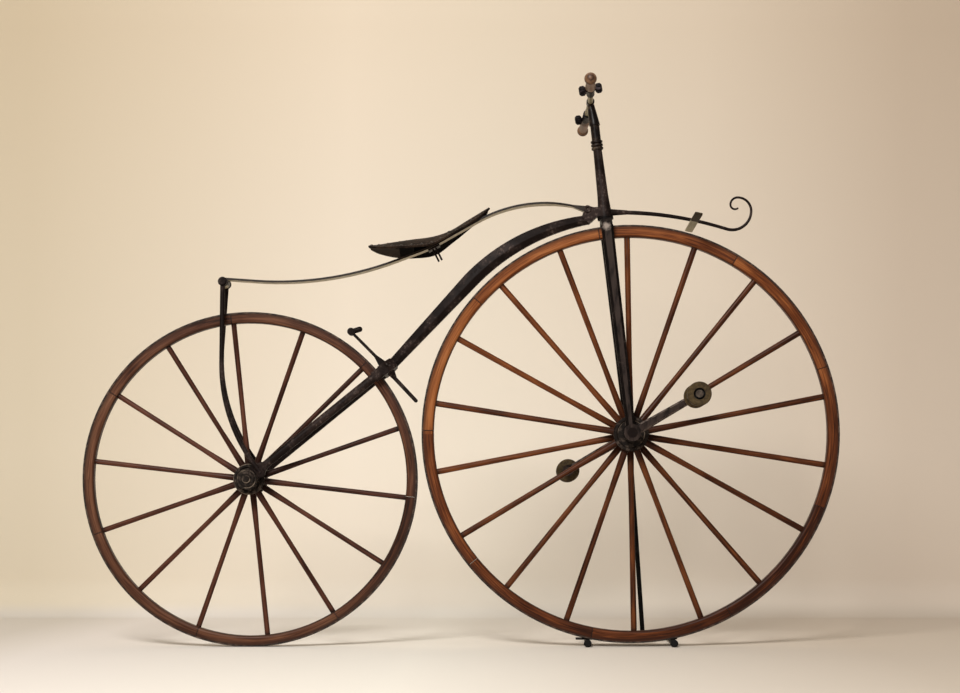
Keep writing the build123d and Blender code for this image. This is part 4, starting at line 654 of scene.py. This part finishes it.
def arch_point(x, share, drop):
    """A point of the saddle's arch, share from -1 at the right edge to 1 at the left, drop below its top."""
    crest, edge, half = through(SADDLE_ROWS, x)
    rise = max(crest - edge, LEAST_RISE)
    radius = (half * half + rise * rise) / (2 * rise)
    swing = asin(min(half / radius, 1.0)) * share
    return Vector((x, (radius - drop) * sin(swing), crest - radius + (radius - drop) * cos(swing))) * MM


def arch_facing(x, share):
    along = arch_point(x + 1, share, 0) - arch_point(x - 1, share, 0)
    over = arch_point(x, share + SHARE_STEP, 0) - arch_point(x, share - SHARE_STEP, 0)
    return along.cross(over).normalized(), along.normalized()


def arch_shell(name, places, reach, drop, thick, materials):
    """A shell that follows the arch at a set of places along it; reach is its share of the half width."""
    steps = ARCH_STEPS
    verts = [arch_point(x, reach * (2 * j / steps - 1), drop) for x in places for j in range(steps + 1)]
    row = steps + 1
    faces = [(i * row + j, (i + 1) * row + j, (i + 1) * row + j + 1, i * row + j + 1)
             for i in range(len(places) - 1) for j in range(steps)]
    mesh = bpy.data.meshes.new(name)
    mesh.from_pydata(verts, [], faces)
    for face in mesh.polygons:
        face.use_smooth = True
    for material in materials:
        mesh.materials.append(material)
    shell = bpy.data.objects.new(name, mesh)
    bpy.context.scene.collection.objects.link(shell)
    wall = shell.modifiers.new("thickness", "SOLIDIFY")
    wall.thickness = thick * MM
    wall.offset = -1
    wall.material_offset = len(materials) - 1
    rim = shell.modifiers.new("rim", "BEVEL")
    rim.width = thick * 0.35 * MM
    rim.segments = 3
    rim.limit_method = "ANGLE"
    rim.angle_limit = radians(60)
    return settle(shell)


def settle(piece):
    """The piece with its modifiers made part of its mesh."""
    evaluated = piece.evaluated_get(bpy.context.evaluated_depsgraph_get())
    mesh = bpy.data.meshes.new_from_object(evaluated)
    piece.modifiers.clear()
    piece.data = mesh
    return piece


def saddle_places(start, end, count):
    """Places along the saddle, closer together towards its two ends."""
    return [start + (end - start) * (1 - cos(pi * i / count)) / 2 for i in range(count + 1)]


def saddle_block(material):
    """The block between spring and hide: its foot follows the spring's curve."""
    verts = []
    for x, foot in BLOCK_ROWS:
        top = through(SADDLE_ROWS, x)[0] - HIDE_THICK
        verts += [Vector((x, y, z)) * MM for z in (foot, top) for y in (-BLOCK_HALF, BLOCK_HALF)]
    faces = [(0, 1, 3, 2)]
    for i in range(len(BLOCK_ROWS) - 1):
        a, b = 4 * i, 4 * i + 4
        faces += [(a, b, b + 1, a + 1), (a + 2, a + 3, b + 3, b + 2), (a, a + 2, b + 2, b),
                  (a + 1, b + 1, b + 3, a + 3)]
    last = 4 * (len(BLOCK_ROWS) - 1)
    faces.append((last, last + 2, last + 3, last + 1))
    mesh = bpy.data.meshes.new("saddle_block")
    mesh.from_pydata(verts, [], [face[::-1] for face in faces])
    mesh.materials.append(material)
    block = bpy.data.objects.new("saddle_block", mesh)
    bpy.context.scene.collection.objects.link(block)
    worn = block.modifiers.new("worn_edges", "BEVEL")
    worn.width = BLOCK_WORN * MM
    worn.segments = 3
    worn.limit_method = "ANGLE"
    worn.angle_limit = radians(50)
    return settle(block)


def fastening_tree():
    """A rounded head on every point, turned to face as the point does, with its long side along."""
    tree = bpy.data.node_groups.new("fastenings", "GeometryNodeTree")
    tree.interface.new_socket("Geometry", in_out="INPUT", socket_type="NodeSocketGeometry")
    inputs = {}
    for name, kind in (
        ("Size", "NodeSocketVector"),
        ("Sides", "NodeSocketInt"),
        ("Finish", "NodeSocketMaterial"),
    ):
        inputs[name] = tree.interface.new_socket(name, in_out="INPUT", socket_type=kind).identifier
    tree.interface.new_socket("Geometry", in_out="OUTPUT", socket_type="NodeSocketGeometry")
    given = add(tree, "NodeGroupInput").outputs
    ball = add(tree, "GeometryNodeMeshUVSphere", {"Segments": given["Sides"], "Rings": 6, "Radius": 1.0})
    head = add(tree, "GeometryNodeTransform", {"Geometry": ball.outputs["Mesh"], "Scale": given["Size"]})
    along = add(tree, "GeometryNodeInputNamedAttribute", {"Name": "along"}, data_type="FLOAT_VECTOR")
    facing = add(tree, "GeometryNodeInputNamedAttribute", {"Name": "facing"}, data_type="FLOAT_VECTOR")
    turn = add(tree, "FunctionNodeAlignRotationToVector", {"Vector": along.outputs["Attribute"]}, axis="X")
    turn = add(tree, "FunctionNodeAlignRotationToVector", {"Rotation": turn.outputs["Rotation"],
                                                           "Vector": facing.outputs["Attribute"]},
               axis="Z", pivot_axis="X")
    heads = add(tree, "GeometryNodeInstanceOnPoints", {"Points": given["Geometry"],
                                                       "Instance": head.outputs["Geometry"],
                                                       "Rotation": turn.outputs["Rotation"]})
    whole = add(tree, "GeometryNodeRealizeInstances", {"Geometry": heads.outputs["Instances"]})
    dressed = add(tree, "GeometryNodeSetMaterial", {"Geometry": whole.outputs["Geometry"],
                                                    "Material": given["Finish"]})
    add(tree, "NodeGroupOutput", {"Geometry": dressed.outputs["Geometry"]})
    return tree, inputs


FASTENINGS, FASTENING_INPUTS = fastening_tree()


def fastenings(name, places, size_mm, sides, material, body):
    """One piece of like heads; places are (point, facing, along)."""
    mesh = bpy.data.meshes.new(name)
    mesh.from_pydata([point for point, _, _ in places], [], [])
    for column, attribute in ((1, "facing"), (2, "along")):
        layer = mesh.attributes.new(attribute, "FLOAT_VECTOR", "POINT")
        for item, place in zip(layer.data, places):
            item.vector = place[column]
    piece = bpy.data.objects.new(name, mesh)
    bpy.context.scene.collection.objects.link(piece)
    grow = piece.modifiers.new("heads", "NODES")
    grow.node_group = FASTENINGS
    grow[FASTENING_INPUTS["Size"]] = [v * MM for v in size_mm]
    grow[FASTENING_INPUTS["Sides"]] = sides
    grow[FASTENING_INPUTS["Finish"]] = material
    settle(piece)
    for face in piece.data.polygons:
        face.use_smooth = True
    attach(piece, body)


def edge_run(start, end, pitch, inset):
    """Places along both edges of the saddle, a set distance in from them and about a pitch apart."""
    places = []
    for _, side in SIDES:
        x, walked, before = start, pitch, None
        while x < end:
            half = through(SADDLE_ROWS, x)[2]
            share = side * max(1 - inset / half, 0.0)
            point = arch_point(x, share, 0)
            if before is not None:
                walked += (point - before).length / MM
            before = point
            if walked >= pitch:
                facing, along = arch_facing(x, share)
                places.append((point, facing, along))
                walked = 0.0
            x += 1.0
    return places


DARK_IRON = ((0.3, "#1d1713"), (0.55, "#2e2620"), (0.8, "#4a3f35"))


def make_saddle():
    hide = saddle_hide()
    japan = forged_iron("black_japan", "#070505", "#0d0a09", "#171312", sheen=0.8, shine=0.03)
    places = saddle_places(SADDLE_ROWS[0][0], SADDLE_ROWS[-1][0], HIDE_STEPS)
    cover = arch_shell("saddle_hide", places, 1.0, 0.0, HIDE_THICK, (hide, flesh_side()))
    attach(cover, "frame")
    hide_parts("saddle")
    places = saddle_places(*PLATE_SPAN, PLATE_STEPS)
    plate = arch_shell("saddle_plate", places, PLATE_REACH, HIDE_THICK, PLATE_THICK, (japan,))
    block = saddle_block(japan)
    for piece in (plate, block):
        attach(piece, "frame")
    tack = mottled("tack_iron", DARK_IRON, 0.4, 0.3)
    crest = [(arch_point(x, 0, 0), *arch_facing(x, 0)) for x in TACKS_ALONG_CREST]
    edge = edge_run(*EDGE_TACK_SPAN, EDGE_TACK_PITCH, EDGE_TACK_INSET)
    fastenings("saddle_edge_tacks", edge, EDGE_TACK, 12, tack, "frame")
    fastenings("saddle_crest_tacks", crest, CREST_TACK, 16, tack, "frame")
    stops = ((0.3, "#3a3026"), (0.6, "#54483a"), (0.8, "#6b5d4c"))
    thread = mottled("waxed_thread", stops, 0.7, 0.0, speck_mm=2)
    seam = edge_run(*STITCH_SPAN, STITCH_PITCH, STITCH_INSET)
    fastenings("saddle_stitches", seam, STITCH, 8, thread, "frame")


# Sizes in millimetres, and the rivets' places along the machine and up it
TYRE_SCREW = (5.0, 5.0, 0.4)
CROWN_RIVET = (2.6, 2.6, 1.4)
CROWN_RIVETS = ((-176.0, 673.0), (-170.0, 670.7))


def make_rivets():
    """Countersunk screws through both tyres, and two rivet heads on the rear crown."""
    steel = mottled("screw_steel", ((0.3, "#3a342f"), (0.55, "#5c544c"), (0.8, "#7d746a")), 0.45, 0.4)
    for body, axle, radius, count, phase in (
        ("front_wheel", FRONT_AXLE, FRONT_TYRE_RADIUS, FRONT_SPOKES, FRONT_PHASE + 180 / FRONT_SPOKES),
        ("rear_wheel", REAR_AXLE, REAR_TYRE_RADIUS, REAR_SPOKES, REAR_PHASE + 180 / REAR_SPOKES),
    ):
        places = []
        for i in range(count):
            turn = radians(phase + 360 * i / count)
            out = Vector((cos(turn), 0, sin(turn)))
            places.append((axle + out * radius, out, Vector((-sin(turn), 0, cos(turn)))))
        fastenings(f"{body}_screws", places, TYRE_SCREW, 16, steel, body)
    heads = []
    for x, z in CROWN_RIVETS:
        hit, point, facing, _ = NODES["backbone"].ray_cast(Vector((x, -500, z)) * MM, Vector((0, 1, 0)))
        if hit:
            heads.append((point, facing, facing.cross(Vector((0, 0, 1)))))
    rivet = mottled("rivet_iron", DARK_IRON, 0.45, 0.2)
    fastenings("crown_rivets", heads, CROWN_RIVET, 12, rivet, "frame")


# Studio: sizes of the paper in metres, and the lamps with place, target, size, watts and colour

SHEET_NEAR = -14.0
SHEET_WALL = 1.15
SHEET_BEND = 0.12
SHEET_TOP = 9.0
SHEET_HALF = 16.0
SHEET_SHADED_HALF = 1.6
# Paper tones across the sweep, painted light and shade: brightest left of the middle, darker towards both
# sides
WALL_TONES_AND_SHADE = (
    (0.075, "#d9ccb5"), (0.24, "#e6dac7"), (0.38, "#f2e7d7"), (0.52, "#eee4d4"), (0.72, "#e9ddcd"),
    (0.91, "#d8c9b8"),
)
FLOOR_TONES_AND_SHADE = (
    (0.12, "#d3cbc0"), (0.20, "#e4dcd4"), (0.47, "#eee8dd"), (0.60, "#ded5c9"), (0.80, "#cfc2b2"),
)
SHEET_SHADE_HEIGHTS = (0.5, 1.8)
BEND_STEPS = 12
LAMPS = (
    ("key", (-1.3, -4.4, 3.6), (0.0, 0.3, 0.6), (1.8, 1.4), 305, "#fffdfa"),
    ("fill", (3.0, -4.0, 1.6), (0.2, 0.0, 0.6), (2.0, 2.0), 8, "#fffdfa"),
    ("top", (-0.4, 0.2, 3.6), (-0.2, 0.3, 0.0), (3.0, 1.2), 16, "#ffffff"),
)
AIR_STRENGTH = 0.15


def studio_sheet():
    """A pale paper sweep: floor, a short bend and a wall behind the machine, painted darker towards both
    sides, the floor's right and the wall's top: painted shade round a brighter pool of painted light.
    """
    foot = SHEET_WALL - SHEET_BEND
    profile = [(SHEET_NEAR, 0.0), (foot, 0.0)]
    for i in range(1, BEND_STEPS + 1):
        turn = pi / 2 * i / BEND_STEPS
        profile.append((foot + SHEET_BEND * sin(turn), SHEET_BEND - SHEET_BEND * cos(turn)))
    profile.append((SHEET_WALL, SHEET_TOP))
    mesh = bpy.data.meshes.new("paper_sweep")
    verts = [(x, y, z) for y, z in profile for x in (-SHEET_HALF, SHEET_HALF)]
    faces = [(2 * i, 2 * i + 1, 2 * i + 3, 2 * i + 2) for i in range(len(profile) - 1)]
    mesh.from_pydata(verts, [], faces)
    for face in mesh.polygons:
        face.use_smooth = True
    sheet = bpy.data.objects.new("paper_sweep", mesh)
    bpy.context.scene.collection.objects.link(sheet)
    material, tree, shader = finish("backdrop_paper", 0.95, shine=0.1)
    place = add(tree, "ShaderNodeTexCoord").outputs["Object"]
    split = add(tree, "ShaderNodeSeparateXYZ", {"Vector": place}).outputs
    across = add(tree, "ShaderNodeMapRange", {"Value": split["X"], "From Min": -SHEET_SHADED_HALF,
                                              "From Max": SHEET_SHADED_HALF}).outputs["Result"]
    wall_paper_and_shade = add(tree, "ShaderNodeValToRGB", {"Fac": across}, stops=WALL_TONES_AND_SHADE).outputs["Color"]
    floor_paper_and_shade = add(tree, "ShaderNodeValToRGB", {"Fac": across}, stops=FLOOR_TONES_AND_SHADE).outputs["Color"]
    rise = add(tree, "ShaderNodeMapRange", {"Value": split["Z"], "From Min": 0.0, "From Max": 0.05},
               interpolation_type="SMOOTHSTEP").outputs["Result"]
    # Painted shade: the wall darker towards its top
    low, high = SHEET_SHADE_HEIGHTS
    height = add(tree, "ShaderNodeMapRange", {"Value": split["Z"], "From Min": low, "From Max": high})
    shade = add(tree, "ShaderNodeValToRGB", {"Fac": height.outputs["Result"]},
                stops=((0.0, "#ffffff"), (1.0, "#e8e2da"))).outputs["Color"]
    paper = add(tree, "ShaderNodeMix", {"Factor": rise, "A": floor_paper_and_shade, "B": wall_paper_and_shade}, data_type="RGBA")
    paper = add(tree, "ShaderNodeMix", {"Factor": 1.0, "A": paper.outputs["Result"], "B": shade},
                data_type="RGBA", blend_type="MULTIPLY").outputs["Result"]
    tree.links.new(paper, shader.inputs["Base Color"])
    # The sheet shows its front only, so that from behind or below it hides nothing.
    rear = add(tree, "ShaderNodeNewGeometry").outputs["Backfacing"]
    clear = add(tree, "ShaderNodeBsdfTransparent").outputs["BSDF"]
    surface = add(tree, "ShaderNodeMixShader", {"Fac": rear, 1: shader.outputs["BSDF"], 2: clear})
    tree.links.new(surface.outputs["Shader"], tree.nodes["Material Output"].inputs["Surface"])
    mesh.materials.append(material)


def lamp(name, place, target, size, watts, colour):
    data = bpy.data.lights.new(name, "AREA")
    data.shape = "RECTANGLE"
    data.size, data.size_y = size
    data.energy = watts
    data.color = linear(colour)[:3]
    made = bpy.data.objects.new(name, data)
    made.location = place
    made.rotation_euler = (Vector(target) - Vector(place)).to_track_quat("-Z", "Y").to_euler()
    bpy.context.scene.collection.objects.link(made)


def light_studio():
    for row in LAMPS:
        lamp(*row)
    world = bpy.data.worlds.new("studio_air")
    world.use_nodes = True
    sky = world.node_tree.nodes["Background"]
    sky.inputs["Color"].default_value = linear("#fbf8f4")
    sky.inputs["Strength"].default_value = AIR_STRENGTH
    bpy.context.scene.world = world
    bpy.context.scene.view_settings.view_transform = "Standard"


def photograph():
    eye_x = FRONT_AXLE.x + (EYE_POINT[0] - FRONT_AXLE_PIXEL[0]) * METRES_PER_PIXEL
    eye_z = FRONT_AXLE.z - (EYE_POINT[1] - FRONT_AXLE_PIXEL[1]) * METRES_PER_PIXEL
    data = bpy.data.cameras.new("camera")
    data.sensor_width = SENSOR_MM
    data.lens = EYE_DISTANCE / METRES_PER_PIXEL * SENSOR_MM / PHOTO_WIDTH
    data.shift_x = (PHOTO_WIDTH / 2 - EYE_POINT[0]) / PHOTO_WIDTH
    data.shift_y = (EYE_POINT[1] - PHOTO_HEIGHT / 2) / PHOTO_WIDTH
    camera = bpy.data.objects.new("camera", data)
    camera.location = (eye_x, -EYE_DISTANCE, eye_z)
    camera.rotation_euler = (radians(90), 0, 0)
    bpy.context.scene.collection.objects.link(camera)
    bpy.context.scene.camera = camera


photograph()
studio_sheet()
light_studio()
dress_wheels()
dress_iron()
dress_fittings()
make_saddle()
make_rivets()
